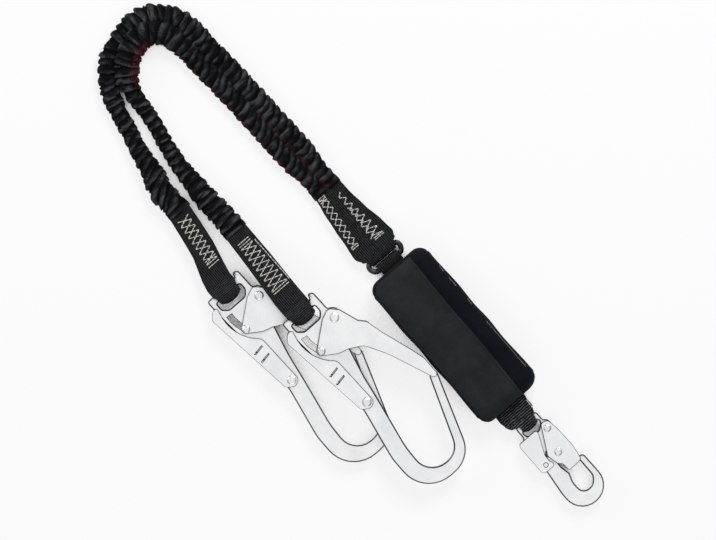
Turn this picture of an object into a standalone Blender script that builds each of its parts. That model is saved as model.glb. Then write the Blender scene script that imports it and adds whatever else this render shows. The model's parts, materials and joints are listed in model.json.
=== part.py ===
"""Twin shock-absorbing lanyard, laid flat: absorber pack, link ring, two elasticated legs with
scaffold hooks, and a snap hook. Lengths are in millimetres and angles in degrees. The origin is on
the surface that the lanyard lies on, under the middle of the pack; +X runs along the pack towards
the snap hook and +Z is up."""

import math

import bpy
import numpy as np
from mathutils import Vector

MM = 0.001  # metres in a millimetre

# Clearances
REST_GAP = 0.3     # between pieces that touch, rest or are sewn together
PIN_GAP = 0.3      # round a pin in its hole
STRAP_GAP = 0.5    # between a strap's loop and the bar inside it
SIDE_GAP = 0.8     # each side of a strap in an eye
TRACK_GAP = 0.7    # round a lock pin in the body's track
FLOOR_GAP = 0.2    # under the rivet heads

# Webbing
WEB_THICK = 2.4         # one layer of sewn webbing
STRAP_TAPER = 15.0      # the angle at which a strap's two layers close behind a bar
STRAP_FLARE = 4.5       # from a bar's middle back to where a strap has spread out again
HOOK_SLACK = 3.0        # how far a strap's fold hangs loose in a scaffold hook's eye
HOOK_WEB_WIDTH = 31.0   # in the scaffold hooks' eyes
SNAP_WEB_WIDTH = 19.6   # gathered in the snap hook's eye
PACK_WEB_WIDTH = 28.0   # round the link ring, from the pack
LEG_WEB_WIDTH = 16.2    # round the link ring, from each leg
WEAR_THICK = 0.8        # the wear sleeves in the hooks' eyes
WEAR_LENGTH = 10.0      # how far a wear sleeve reaches back from the eye's bar

# Pack
PACK_LENGTH = 194.0
PACK_WIDTH = 77.5
PACK_HEIGHT = 36.0
PACK_END_HEIGHT = 15.0
PACK_CROWN = 1.5                # the middle stands this much over the ends
PACK_RUN = 20.0                 # over which each end narrows
PACK_RING_END = (-21.5, 21.5)   # the edges of the end at the ring, in Y
PACK_SNAP_END = (-28.0, 18.0)   # and at the snap hook
PACK_WALL = 1.8
MOUTH_HEIGHT = 9.6
TAIL_INSIDE = 16.0              # of each loop's tail inside the pack
FOLDS = 8
FOLD_PITCH = 3.0
FOLD_WIDTH = 44.0
FOLD_DROP = 4.5                 # from the folds' last run down to its end

# Link ring
RING_WIRE = 6.0
RING_PITCH = 12.5         # between the two straight bars
RING_LEG_SPAN = 53.0      # outside, at the legs' bar
RING_PACK_SPAN = 43.0     # outside, at the pack's bar
RING_CORNER = 5.5
RING_Y = -1.0
RING_Z = 7.0              # height of the ring and of the webbing that it joins
RING_TO_PACK = 7.0        # from the pack's bar to the end of the pack

# Legs
LEG_FLATNESS = 0.62       # a leg's height as a share of its width
LEG_PITCH = 9.0           # from one gather of the elasticated sleeve to the next
LEG_VALLEY = 0.84         # a valley's width as a share of its crest's
LEG_END = 2.0             # the smooth end of a sleeve, at the sewn webbing
LEG_SETTLE = 55.0         # over which a sleeve comes down from the webbing's height
RING_TAIL = 92.5          # sewn webbing from the ring's bar to the sleeve
HOOK_TAIL_A = 100.0       # and from the eye's bar, on each leg
HOOK_TAIL_B = 115.0

# Scaffold hooks
BODY_THICK = 10.0
BODY_CHAMFER = 1.5
EYE_BAR = 8.4
EYE_DEPTH = 13.3
EYE_Y = -1.7              # the middle of the eye
LEVER_SHEET = 1.5
GATE_SHEET = 1.8
BACK_SHEET = 2.0          # the bent back that joins a channel's two sides
HEAD_HEIGHT = 1.1
GATE_PIN = 3.0            # radii of the pins and of their heads
LOCK_PIN = 2.6
LEVER_PIN = 3.0
PIN_HEAD = 5.0
LOCK_HEAD = 4.4
SPRING_WIRE = 1.0
SPRING_RADIUS = 4.3
SPRING_TURNS = 2.5
SPRING_PITCH = 1.5
POCKET_RADIUS = 6.0
POCKET_WIDTH = 5.4
SLOT_GAP = 2.8            # between the gate's heel and the lever, for the lever's travel
GATE_TRAVEL = 30.0

# Snap hook
SNAP_THICK = 9.0
SNAP_CHAMFER = 1.5
SNAP_BAR = 9.0
SNAP_EYE_DEPTH = 9.5
SNAP_EYE_Y = -1.1         # the middle of the eye
SNAP_EYE_RIM = 4.0        # at each side of the eye
SNAP_LEVER_SHEET = 1.2
SNAP_GATE_SHEET = 1.5
SNAP_BACK_SHEET = 1.6
SNAP_HEAD_HEIGHT = 1.0
SNAP_PIN = 2.2
SNAP_PIN_HEAD = 4.0
SNAP_SPRING_RADIUS = 3.3
SNAP_POCKET_RADIUS = 4.5
SNAP_GATE_TRAVEL = 22.0

# Places of the hooks, each at the middle of its eye's bar
HOOK_B_X = -125.0
HOOK_B_ASIDE = 67.25      # from the pack's side, past which the hook's nose just lies
HOOKS_APART = (70.0, 45.5)
HOOK_B_HEIGHT = 34.0
HOOK_B_TILT = 3.8         # nose down over the other hook, with room for its gate to open
SNAP_FROM_PACK = 26.0
SNAP_Y = -1.0

ARC_SAG = 0.16   # how far a facet's middle may lie inside the arc that it follows
ROUND_SIDES = 12

# Fits and stacks that follow from the sizes above
RING_BAR_PACK = -PACK_LENGTH / 2 - RING_TO_PACK
RING_BAR_LEGS = RING_BAR_PACK - RING_PITCH
RING_REACH = RING_WIRE / 2 + STRAP_GAP
LEVER_INNER = BODY_THICK / 2 + REST_GAP
LEVER_OUTER = LEVER_INNER + LEVER_SHEET
GATE_INNER = LEVER_OUTER + REST_GAP
GATE_OUTER = GATE_INNER + GATE_SHEET
HOOK_A_HEIGHT = GATE_OUTER + REST_GAP + HEAD_HEIGHT + FLOOR_GAP
SNAP_LEVER_INNER = SNAP_THICK / 2 + REST_GAP
SNAP_LEVER_OUTER = SNAP_LEVER_INNER + SNAP_LEVER_SHEET
SNAP_GATE_INNER = SNAP_LEVER_OUTER + REST_GAP
SNAP_GATE_OUTER = SNAP_GATE_INNER + SNAP_GATE_SHEET
SNAP_HEIGHT = SNAP_GATE_OUTER + REST_GAP + SNAP_HEAD_HEIGHT + FLOOR_GAP
HOOK_B_PLACE = (HOOK_B_X, -PACK_WIDTH / 2 - HOOK_B_ASIDE)
HOOK_A_PLACE = (HOOK_B_PLACE[0] - HOOKS_APART[0], HOOK_B_PLACE[1] - HOOKS_APART[1])

# Each elasticated sleeve's middle line over the ground: x, y, and the width of the gathers there
ROUTE_A = [
    (-255, 9.3, 19.3), (-305, 8.2, 19.5), (-355, 7.2, 19.5), (-405, 4.8, 20), (-435, 2.8, 20.5),
    (-452, -2, 20), (-463, -10, 20), (-473, -24, 22), (-476, -38, 22), (-475, -52, 22),
    (-471, -68, 22), (-464, -84, 22), (-453, -96, 22), (-438, -106, 22), (-417, -114, 19),
    (-395, -119, 19), (-370, -125, 20), (-345, -129.5, 24),
]
ROUTE_B = [
    (-255, -11.2, 19), (-305, -12.6, 19.3), (-355, -13.8, 19.5), (-395, -16.5, 20),
    (-425, -18, 21), (-446, -24, 24), (-457, -39, 26), (-456.5, -54, 26), (-450, -68, 26),
    (-438, -81, 24), (-423, -88.5, 20), (-405, -91, 18), (-385, -93, 18), (-355, -99, 17),
    (-340, -101.5, 18), (-320, -103.5, 20), (-305, -103.5, 23), (-285, -104.5, 25),
]

FINISHES = {
    "steel": ((0.72, 0.73, 0.74), 0.32, 1.0),
    "dark_steel": ((0.05, 0.05, 0.055), 0.45, 1.0),
    "webbing": ((0.02, 0.021, 0.023), 0.85, 0.0),
    "cover": ((0.028, 0.032, 0.04), 0.8, 0.0),
    "tear_webbing": ((0.55, 0.54, 0.5), 0.85, 0.0),
}


def finished(part, finish, smooth_angle=None):
    """Gives a piece its own material, and smooth shading up to an angle between faces."""
    colour, roughness, metallic = FINISHES[finish]
    own = bpy.data.materials.new(part.name)
    own.use_nodes = True
    shader = own.node_tree.nodes["Principled BSDF"]
    shader.inputs["Base Color"].default_value = (*colour, 1.0)
    shader.inputs["Roughness"].default_value = roughness
    shader.inputs["Metallic"].default_value = metallic
    part.data.materials.append(own)
    if smooth_angle:
        part.data.shade_smooth()
        part.data.set_sharp_from_angle(angle=math.radians(smooth_angle))
    return part


def solid(name, points, faces, parent=None):
    """A mesh object from points in millimetres, in its parent's frame."""
    mesh = bpy.data.meshes.new(name)
    mesh.from_pydata([Vector(point) * MM for point in points], [], faces)
    mesh.validate()
    part = bpy.data.objects.new(name, mesh)
    part.parent = parent
    bpy.context.scene.collection.objects.link(part)
    return part


def place(name, x, y, z, tilt=0.0, parent=None):
    """An empty that carries a sub-assembly, tilted about Y."""
    empty = bpy.data.objects.new(name, None)
    empty.location = Vector((x, y, z)) * MM
    empty.rotation_euler.y = math.radians(tilt)
    empty.empty_display_size = 10 * MM
    empty.parent = parent
    bpy.context.scene.collection.objects.link(empty)
    return empty


def hang_on(part, axis):
    """Parents a piece, and the cutters that shape it, to the empty on its joint's axis."""
    for piece in [part] + [m.object for m in part.modifiers if m.type == "BOOLEAN"]:
        piece.location = piece.location - axis.location
        piece.parent = axis


def facets(radius, turn):
    """How many facets follow an arc of a radius through a turn in degrees."""
    step = 2 * math.degrees(math.acos(max(0.7, 1 - ARC_SAG / radius)))
    return max(1, math.ceil(abs(turn) / step))


def arc(centre, radius, start, end):
    """Points on an arc, as unrounded corners of an outline."""
    count = facets(radius, end - start)
    angles = [math.radians(start + (end - start) * i / count) for i in range(count + 1)]
    return [(centre[0] + radius * math.cos(a), centre[1] + radius * math.sin(a), 0) for a in angles]


def outline(corners):
    """The points of a closed outline from its corners, each with the radius that rounds it."""
    spots = [Vector(corner[:2]) for corner in corners]
    count = len(spots)
    halves = []
    for i in range(count):
        back, ahead = spots[i - 1] - spots[i], spots[(i + 1) % count] - spots[i]
        halves.append(max(back.angle(ahead), 0.01) / 2)
    reach = [corner[2] / math.tan(half) for corner, half in zip(corners, halves)]
    for i in range(count):
        edge = (spots[(i + 1) % count] - spots[i]).length
        both = reach[i] + reach[(i + 1) % count]
        if both > 0.98 * edge:
            reach[i] *= 0.98 * edge / both
            reach[(i + 1) % count] *= 0.98 * edge / both
    points = []
    for i, half in enumerate(halves):
        if reach[i] < 0.01:
            points.append(spots[i])
            continue
        back = (spots[i - 1] - spots[i]).normalized()
        ahead = (spots[(i + 1) % count] - spots[i]).normalized()
        radius = reach[i] * math.tan(half)
        centre = spots[i] + (back + ahead).normalized() * radius / math.sin(half)
        start = spots[i] + back * reach[i] - centre
        turn = -start.angle_signed(spots[i] + ahead * reach[i] - centre)
        steps = facets(radius, math.degrees(turn))
        for step in range(steps + 1):
            cos, sin = math.cos(turn * step / steps), math.sin(turn * step / steps)
            points.append(centre + Vector((start.x * cos - start.y * sin,
                                           start.x * sin + start.y * cos)))
    return points


def prism(name, corners, low, high, parent=None):
    """An outline in X and Y, run from one height to another."""
    ring = outline(corners)
    if sum(a.x * b.y - b.x * a.y for a, b in zip(ring, ring[1:] + ring[:1])) < 0:
        ring.reverse()
    count = len(ring)
    rims = [(p.x, p.y, low) for p in ring] + [(p.x, p.y, high) for p in ring]
    faces = [tuple(reversed(range(count))), tuple(range(count, 2 * count))]
    faces += [(i, (i + 1) % count, count + (i + 1) % count, count + i) for i in range(count)]
    return solid(name, rims, faces, parent)


def turned(name, profile, centre, parent=None):
    """A round piece about Z, from radii and heights that run upwards."""
    sides = ROUND_SIDES
    points = [(0, 0, profile[0][1])]
    for radius, height in profile:
        angles = [2 * math.pi * i / sides for i in range(sides)]
        points += [(radius * math.cos(a), radius * math.sin(a), height) for a in angles]
    points.append((0, 0, profile[-1][1]))
    faces = [(0, 1 + (i + 1) % sides, 1 + i) for i in range(sides)]
    for row in range(len(profile) - 1):
        low, high = 1 + row * sides, 1 + (row + 1) * sides
        faces += [(low + i, low + (i + 1) % sides, high + (i + 1) % sides, high + i)
                  for i in range(sides)]
    last, end = 1 + (len(profile) - 1) * sides, len(points) - 1
    faces += [(last + i, last + (i + 1) % sides, end) for i in range(sides)]
    part = solid(name, points, faces, parent)
    part.location = Vector((*centre, 0)) * MM
    return part


def cut(part, cutter):
    """Takes the cutter's shape out of a part, and hides the cutter."""
    cutter.hide_render = True
    cutter.display_type = "WIRE"
    boolean = part.modifiers.new(cutter.name, "BOOLEAN")
    boolean.operation = "DIFFERENCE"
    boolean.solver = "EXACT"
    boolean.object = cutter


def bore(part, name, centre, radius):
    """A round hole through a part that lies across Z = 0."""
    cut(part, turned(name, [(radius, -20), (radius, 20)], centre, part.parent))


def chamfer(part, width):
    edge = part.modifiers.new("edge", "BEVEL")
    edge.width = width * MM
    edge.segments = 1
    edge.use_clamp_overlap = False
    edge.limit_method = "ANGLE"
    edge.angle_limit = math.radians(50)


def tube(name, centres, radii, resolution, flatness, parent=None):
    """A tube along a line of points, flattened in height, with filled ends."""
    curve = bpy.data.curves.new(name, "CURVE")
    curve.dimensions = "3D"
    curve.twist_mode = "Z_UP"
    curve.bevel_depth = MM
    curve.bevel_resolution = resolution
    curve.use_fill_caps = True
    spline = curve.splines.new("POLY")
    spline.points.add(len(centres) - 1)
    for point, (x, y, z), radius in zip(spline.points, centres, radii):
        point.co = (x * MM, y * MM, z * MM / flatness, 1.0)
        point.radius = radius
    part = bpy.data.objects.new(name, curve)
    part.scale.z = flatness
    part.parent = parent
    bpy.context.scene.collection.objects.link(part)
    return part


def channel(name, corners, hollow, inner, outer, parent):
    """A bent sheet with two flat sides and a back: the outline, less what its hollow takes out."""
    part = prism(name, corners, -outer, outer, parent)
    cut(part, prism(name + "_hollow", hollow, -inner, inner, parent))
    return part


def pin(name, centre, radius, half_length, head_radius, head_height, parent):
    """A rivet with a low head at each end, or a plain pin where the head has no height."""
    profile = [(radius, -half_length), (radius, half_length)]
    if head_height:
        rim, tip = half_length + 0.4 * head_height, half_length + head_height
        crown = 0.72 * head_radius
        below = [(crown, -tip), (head_radius, -rim), (head_radius, -half_length)]
        profile = below + profile + [(r, -z) for r, z in reversed(below)]
    return finished(turned(name, profile, centre, parent), "steel", 40)


def spring(name, centre, radius, parent):
    """A torsion spring's coil round a pin."""
    turns = [i / 8 for i in range(int(8 * SPRING_TURNS) + 1)]
    centres = [(centre[0] + radius * math.cos(2 * math.pi * t),
                centre[1] + radius * math.sin(2 * math.pi * t),
                SPRING_PITCH * (t - SPRING_TURNS / 2)) for t in turns]
    apart = min(math.dist(centres[i], centres[j]) for i in range(len(turns)) for j in range(i - 5))
    print(f"{name}: least gap to itself {apart - SPRING_WIRE:.2f} mm")
    finished(tube(name, centres, [SPRING_WIRE / 2] * len(turns), 0, 1.0, parent), "steel")


def hook(name, frame, shape):
    """One hook in its own frame: X along it from its eye's bar, Y towards its gate, Z across its
    thickness. It has a body, a sprung gate that carries the lock pin, and a lock lever behind."""
    gate_at, lock_at, lever_at = shape["gate_at"], shape["lock_at"], shape["lever_at"]
    gate_axis = place(name + "_gate_axis", *gate_at, 0, parent=frame)
    lever_axis = place(name + "_lever_axis", *lever_at, 0, parent=frame)

    hook_body(name, frame, shape)
    gate = channel(name + "_gate", shape["gate"], shape["gate_hollow"], *shape["gate_layer"], frame)
    bore(gate, name + "_gate_pin_hole", gate_at, shape["gate_pin"] + PIN_GAP)
    bore(gate, name + "_lock_pin_hole", lock_at, shape["lock_pin"] + PIN_GAP)
    hang_on(finished(gate, "steel", 40), gate_axis)

    lever = channel(name + "_lever", shape["lever"], shape["lever_hollow"], *shape["lever_layer"],
                    frame)
    bore(lever, name + "_lever_pin_hole", lever_at, shape["lever_pin"] + PIN_GAP)
    for i, slit in enumerate(shape["slits"]):
        cut(lever, prism(f"{name}_grip_slit_{i}", slit, -20, 20, frame))
    hang_on(finished(lever, "steel", 40), lever_axis)

    head, gate_seat = shape["head_height"], shape["gate_layer"][1] + REST_GAP
    pin(name + "_gate_pin", gate_at, shape["gate_pin"], gate_seat, shape["pin_head"], head, frame)
    lock = pin(name + "_lock_pin", lock_at, shape["lock_pin"], gate_seat, shape["lock_head"], head,
               frame)
    hang_on(lock, gate_axis)
    pin(name + "_lever_pin", lever_at, shape["lever_pin"], shape["lever_seat"], shape["pin_head"],
        shape["lever_head"], frame)
    spring(name + "_gate_spring", gate_at, shape["spring_radius"], frame)
    spring(name + "_lever_spring", lever_at, shape["spring_radius"], frame)


def hook_body(name, frame, shape):
    """The forged body: its eye, the track that the lock pin swings in, and both springs' pockets."""
    half = shape["thick"] / 2
    gate_at, lock_at = shape["gate_at"], shape["lock_at"]
    body = prism(name + "_body", shape["body"], -half, half, frame)
    cut(body, prism(name + "_eye", shape["eye"], -20, 20, frame))
    chamfer(body, shape["chamfer"])

    closed = math.degrees(math.atan2(lock_at[1] - gate_at[1], lock_at[0] - gate_at[0]))
    reach = math.dist(gate_at, lock_at)
    width = shape["lock_pin"] + TRACK_GAP
    ease = math.degrees(width / reach)
    start, end = closed + ease, closed - shape["travel"] - ease
    track = arc(gate_at, reach + width, start, end) + arc(gate_at, reach - width, end, start)
    cut(body, prism(name + "_lock_track", track, -20, 20, frame))

    for label, side in (("gate", 1), ("lever", -1)):
        x, y = shape[label + "_at"]
        bore(body, f"{name}_{label}_bore", (x, y), shape[label + "_pin"] + PIN_GAP)
        size = shape["pocket"]
        corners = [(x - size, y + 40 * side, 0), (x + size, y + 40 * side, 0),
                   (x + size, y - side * size, size), (x - size, y - side * size, size)]
        cut(body, prism(f"{name}_{label}_pocket", corners, -POCKET_WIDTH / 2, POCKET_WIDTH / 2,
                        frame))
    finished(body, "steel", 40)


def scaffold_hook():
    """The sizes of the large hook, 60 mm across its throat."""
    gate_at, lock_at, lever_at = (27.0, 22.0), (45.0, -12.0), (118.0, -11.0)
    bar, eye_right = EYE_BAR / 2, EYE_BAR / 2 + EYE_DEPTH
    eye_low = EYE_Y - HOOK_WEB_WIDTH / 2 - SIDE_GAP
    eye_high = EYE_Y + HOOK_WEB_WIDTH / 2 + SIDE_GAP
    heel = 5.0
    slot = math.dist(gate_at, lock_at) + heel + SLOT_GAP
    back = BACK_SHEET
    return {
        "body": [
            (-bar, eye_low - 7, 3), (16, eye_low - 7, 4), (100, -18.6, 20), (125, -20, 20),
            (182, -31, 60), (237, -31, 36), (237, 34, 32), (141, 67.5, 3), (140, 57.5, 3),
            (222.5, 26.5, 20), (221.5, -12.5, 22), (180, -10.5, 60), (130, -1, 60), (95, 5, 60),
            (64, 12.5, 4), (44, 14, 5), (36.5, 31, 8.5), (18, 31, 8.5), (15, 23, 2),
            (-10, 22.5, 5), (-10, eye_high + 1.5, 2), (-bar, eye_high, 2),
        ],
        "eye": [
            (bar, eye_low, 1.5), (eye_right - 5, eye_low, 3), (eye_right, eye_low + 6, 4),
            (eye_right, eye_high - 5, 5), (eye_right - 5.5, eye_high, 5), (bar, eye_high, 1.5),
        ],
        "gate": [
            (15, 23, 5), (24, 31.5, 8), (46, 39, 4), (53, 45.5, 4), (72, 50.2, 30), (108, 62, 30),
            (122, 65.8, 10), (146, 66, 3.5), (145, 60, 3), (120, 50, 30), (95, 40, 30),
            (70, 26, 14), (62, 11, 8), (59, 0, 8), *arc(lock_at, heel, -25, -150), (20, 11, 6),
        ],
        "gate_hollow": [
            (-20, 90, 0), (56, 90, 0), (56, 46.2 - back, 0), (72, 50.2 - back, 30),
            (108, 62 - back, 30), (122, 65.8 - back, 10), (134, 65.9 - back, 0), (134, 90, 0),
            (170, 90, 0), (170, -40, 0), (-20, -40, 0),
        ],
        "lever": [
            (15, -34, 4), (120, -21.3, 5), (126, -12, 5), (122, -4.5, 5), (66, -6, 2),
            *arc(gate_at, slot, -40, -107), (8, -21, 2), (7, -27, 5),
        ],
        "lever_hollow": [
            (-10, -37 + back, 0), (15, -34 + back, 4), (108, -22.75 + back, 0), (108, -60, 0),
            (150, -60, 0), (150, 20, 0), (-10, 20, 0),
        ],
        "slits": [[(x, -11, 0), (x + 1.6, -11, 0), (x + 3.8, -23, 0), (x + 2.2, -23, 0)]
                  for x in (69, 80)],
        "thick": BODY_THICK, "chamfer": BODY_CHAMFER, "travel": GATE_TRAVEL,
        "gate_at": gate_at, "lock_at": lock_at, "lever_at": lever_at,
        "gate_pin": GATE_PIN, "lock_pin": LOCK_PIN, "lever_pin": LEVER_PIN,
        "pin_head": PIN_HEAD, "lock_head": LOCK_HEAD, "head_height": HEAD_HEIGHT,
        "gate_layer": (GATE_INNER, GATE_OUTER), "lever_layer": (LEVER_INNER, LEVER_OUTER),
        "lever_seat": LEVER_OUTER + REST_GAP, "lever_head": HEAD_HEIGHT,
        "spring_radius": SPRING_RADIUS, "pocket": POCKET_RADIUS,
    }


def snap_hook():
    """The sizes of the small hook, 18 mm across its throat."""
    bar, eye_right = SNAP_BAR / 2, SNAP_BAR / 2 + SNAP_EYE_DEPTH
    eye_low = SNAP_EYE_Y - SNAP_WEB_WIDTH / 2 - SIDE_GAP
    eye_high = SNAP_EYE_Y + SNAP_WEB_WIDTH / 2 + SIDE_GAP
    back = SNAP_BACK_SHEET
    return {
        "body": [
            (-bar, eye_low - SNAP_EYE_RIM, 4), (10, eye_low - SNAP_EYE_RIM, 3), (14, -20.5, 3),
            (40, -21.8, 10), (54, -20.5, 4), (82, -23.8, 30), (112, -23.8, 23), (112, 22.8, 23),
            (63.5, 22.3, 4), (62.5, 14.5, 3), (88, 14.5, 8), (96, 8, 8), (96, -6, 8),
            (80, -6, 8), (70, -2.5, 3), (60, -4.8, 4), (44, -4, 5), (27, 2, 5), (25, 18, 6),
            (11, 18, 6), (8, eye_high + SNAP_EYE_RIM, 3), (-bar, eye_high + SNAP_EYE_RIM, 4),
        ],
        "eye": [
            (bar, eye_low, 1.5), (eye_right - 4, eye_low, 3.5), (eye_right, eye_low + 6, 4),
            (eye_right, eye_high - 7, 4), (eye_right - 5, eye_high, 4), (bar, eye_high, 1.5),
        ],
        "gate": [
            (9, 9, 4), (12, 17, 5), (24, 19, 10), (50, 19.8, 20), (66, 17, 3), (67.5, 13, 1),
            (67.5, -1, 2), (58, -1.5, 2), (54, -5.5, 3), (41, -8.5, 4),
        ],
        "gate_hollow": [
            (-20, 50, 0), (24, 50, 0), (24, 19 - back, 0), (50, 19.8 - back, 20),
            (60, 18.3 - back, 0), (60, 50, 0), (90, 50, 0), (90, -40, 0), (-20, -40, 0),
        ],
        "lever": [
            (12, -25, 4), (53, -24.8, 4), (53.5, -7, 3), (46, -10.5, 3), (38.5, -10, 3),
            (12, 2, 3),
        ],
        "lever_hollow": [
            (-10, -25 + back, 0), (41, -24.9 + back, 0), (41, -50, 0), (80, -50, 0), (80, 10, 0),
            (-10, 10, 0),
        ],
        "slits": [],
        "thick": SNAP_THICK, "chamfer": SNAP_CHAMFER, "travel": SNAP_GATE_TRAVEL,
        "gate_at": (18.0, 11.0), "lock_at": (45.0, 3.0), "lever_at": (47.0, -16.0),
        "gate_pin": SNAP_PIN, "lock_pin": SNAP_PIN, "lever_pin": SNAP_PIN,
        "pin_head": SNAP_PIN_HEAD, "lock_head": SNAP_PIN_HEAD, "head_height": SNAP_HEAD_HEIGHT,
        "gate_layer": (SNAP_GATE_INNER, SNAP_GATE_OUTER),
        "lever_layer": (SNAP_LEVER_INNER, SNAP_LEVER_OUTER),
        "lever_seat": SNAP_LEVER_OUTER, "lever_head": 0.0,
        "spring_radius": SNAP_SPRING_RADIUS, "pocket": SNAP_POCKET_RADIUS,
    }


def bar_reach(bar, thick, edge):
    """The inner radius of a strap's loop round a flat bar with chamfered edges."""
    corners = (bar / 2, thick / 2 - edge), (bar / 2 - edge, thick / 2)
    return max(math.hypot(*corner) for corner in corners) + STRAP_GAP


def band(name, line, thickness, width, middle, lift, parent):
    """Flat webbing: a line in X and Z given a thickness, and a width across Y. The width, the middle
    of it and a rise in Z are read along X from stations."""
    spots = [Vector(point) for point in line]
    left, right = [], []
    for i, spot in enumerate(spots):
        before = (spot - spots[i - 1]).normalized() if i else None
        after = (spots[i + 1] - spot).normalized() if i + 1 < len(spots) else None
        along = ((before or after) + (after or before)).normalized()
        normal = Vector((-along.y, along.x)) * thickness / 2 / along.dot(before or after)
        left.append(spot + normal)
        right.append(spot - normal)
    ring = left + right[::-1]
    count = len(ring)
    points = []
    for side in (-1, 1):
        for p in ring:
            across, centre, rise = (np.interp(p.x, *zip(*rows)) for rows in (width, middle, lift))
            points.append((p.x, centre + side * across / 2, p.y + rise))
    faces = [(i, (i + 1) % count, count + (i + 1) % count, count + i) for i in range(count)]
    for i in range(count // 2 - 1):
        cap = (i, i + 1, count - 2 - i, count - 1 - i)
        faces += [cap[::-1], tuple(count + corner for corner in cap)]
    if sum(a.x * b.y - b.x * a.y for a, b in zip(ring, ring[1:] + ring[:1])) > 0:
        faces = [face[::-1] for face in faces]
    return solid(name, points, faces, parent)


def bow(radius, back, slack=0.0):
    """The upper straight run and the turn of a loop round a bar at x = 0, from x = -back."""
    lean = math.radians(STRAP_TAPER)
    leave = Vector((-radius * math.sin(lean), radius * math.cos(lean)))
    start = leave - Vector((1, math.tan(lean))) * (leave.x + back)
    sweep = math.pi + 2 * lean
    angles = [math.pi / 2 + lean - sweep * i / 10 for i in range(11)]
    return [tuple(start)] + [(radius * math.cos(a) + slack * max(0.0, math.cos(a)),
                              radius * math.sin(a)) for a in angles]


def strap(name, tail, reach, side, width, middle, lift, seat, slack=0.0):
    """A sewn end: a strap folded round a bar, both layers running back to the tail's end. The side
    is 1 where the bar is at the tail's +X end, and -1 at its -X end."""
    layer = (WEB_THICK + REST_GAP) / 2
    radius = reach + WEB_THICK / 2
    lean = math.radians(STRAP_TAPER)
    merge = radius * math.sin(lean) + (radius * math.cos(lean) - layer) / math.tan(lean)
    turn = bow(radius, merge)[:1] + bow(radius, merge / 2)[:1] + bow(radius, STRAP_FLARE, slack)
    count = max(1, round((tail - merge) / 12))
    upper = [(-tail + (tail - merge) * i / count, layer) for i in range(count)]
    line = upper + turn + [(x, -z) for x, z in reversed(upper + turn[:3])]
    line = [(side * x, z) for x, z in line]
    finished(band(name, line, WEB_THICK, width, middle, lift, seat), "webbing", 50)


def wear_sleeve(name, reach, width, middle, seat):
    """A thin sleeve round the outside of a strap, where it turns in a hook's eye."""
    turn = bow(reach + WEB_THICK + REST_GAP + WEAR_THICK / 2, WEAR_LENGTH, HOOK_SLACK)
    line = turn + [(turn[0][0], -turn[0][1])]
    flat = [(0, 0)]
    finished(band(name, line, WEAR_THICK, [(0, width)], [(0, middle)], flat, seat), "webbing", 50)


def link_ring():
    """A welded four-sided ring, wider at the bar that carries the legs."""
    wire = RING_WIRE / 2
    wide, narrow = RING_LEG_SPAN / 2 - wire, RING_PACK_SPAN / 2 - wire
    line = outline([(RING_BAR_LEGS, -wide, RING_CORNER), (RING_BAR_PACK, -narrow, RING_CORNER),
                    (RING_BAR_PACK, narrow, RING_CORNER), (RING_BAR_LEGS, wide, RING_CORNER)])
    count, sides = len(line), 12
    points, faces = [], []
    for i, spot in enumerate(line):
        along = (spot - line[i - 1]).normalized() + (line[(i + 1) % count] - spot).normalized()
        out = Vector((along.y, -along.x)).normalized()
        for k in range(sides):
            angle = 2 * math.pi * (k + 0.5) / sides
            side = out * math.cos(angle) * wire
            points.append((spot.x + side.x, RING_Y + spot.y + side.y,
                           RING_Z + math.sin(angle) * wire))
    for i in range(count):
        here, ahead = i * sides, (i + 1) % count * sides
        faces += [(here + k, ahead + k, ahead + (k + 1) % sides, here + (k + 1) % sides)
                  for k in range(sides)]
    finished(solid("link_ring", points, faces), "dark_steel", 60)


def smooth_route(route, start, end):
    """Stations along a smooth curve through a route, straight at both ends, at the gathers' crests
    and valleys: rows of x, y, width and distance."""
    knots = np.array([start, (start[0] - start[2], start[1], start[2]), *route,
                      (end[0] - end[2], end[1], end[2]), end], dtype=float)
    steps = np.linalg.norm(np.diff(knots[:, :2], axis=0), axis=1)
    slopes = np.diff(knots, axis=0) / steps[:, None]
    shares = (steps[1:] / (steps[:-1] + steps[1:]))[:, None]
    inner = slopes[:-1] * shares + slopes[1:] * (1 - shares)
    tangents = np.vstack([slopes[:1], inner, slopes[-1:]])
    fine = []
    for i, step in enumerate(steps):
        for t in np.linspace(0, 1, 24, endpoint=False):
            ahead = t * t * (3 - 2 * t)
            fine.append((1 - ahead) * knots[i] + ahead * knots[i + 1]
                        + t * (1 - t) ** 2 * step * tangents[i]
                        + t * t * (t - 1) * step * tangents[i + 1])
    fine = np.array(fine + [knots[-1]])
    along = np.cumsum(np.linalg.norm(np.diff(fine[:, :2], axis=0, prepend=fine[:1, :2]), axis=1))
    gathers = round((along[-1] - 2 * LEG_END) / LEG_PITCH)
    marks = [0, *np.linspace(LEG_END, along[-1] - LEG_END, 2 * gathers + 1), along[-1]]
    return np.column_stack([*(np.interp(marks, along, fine[:, k]) for k in range(3)), marks])


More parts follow.
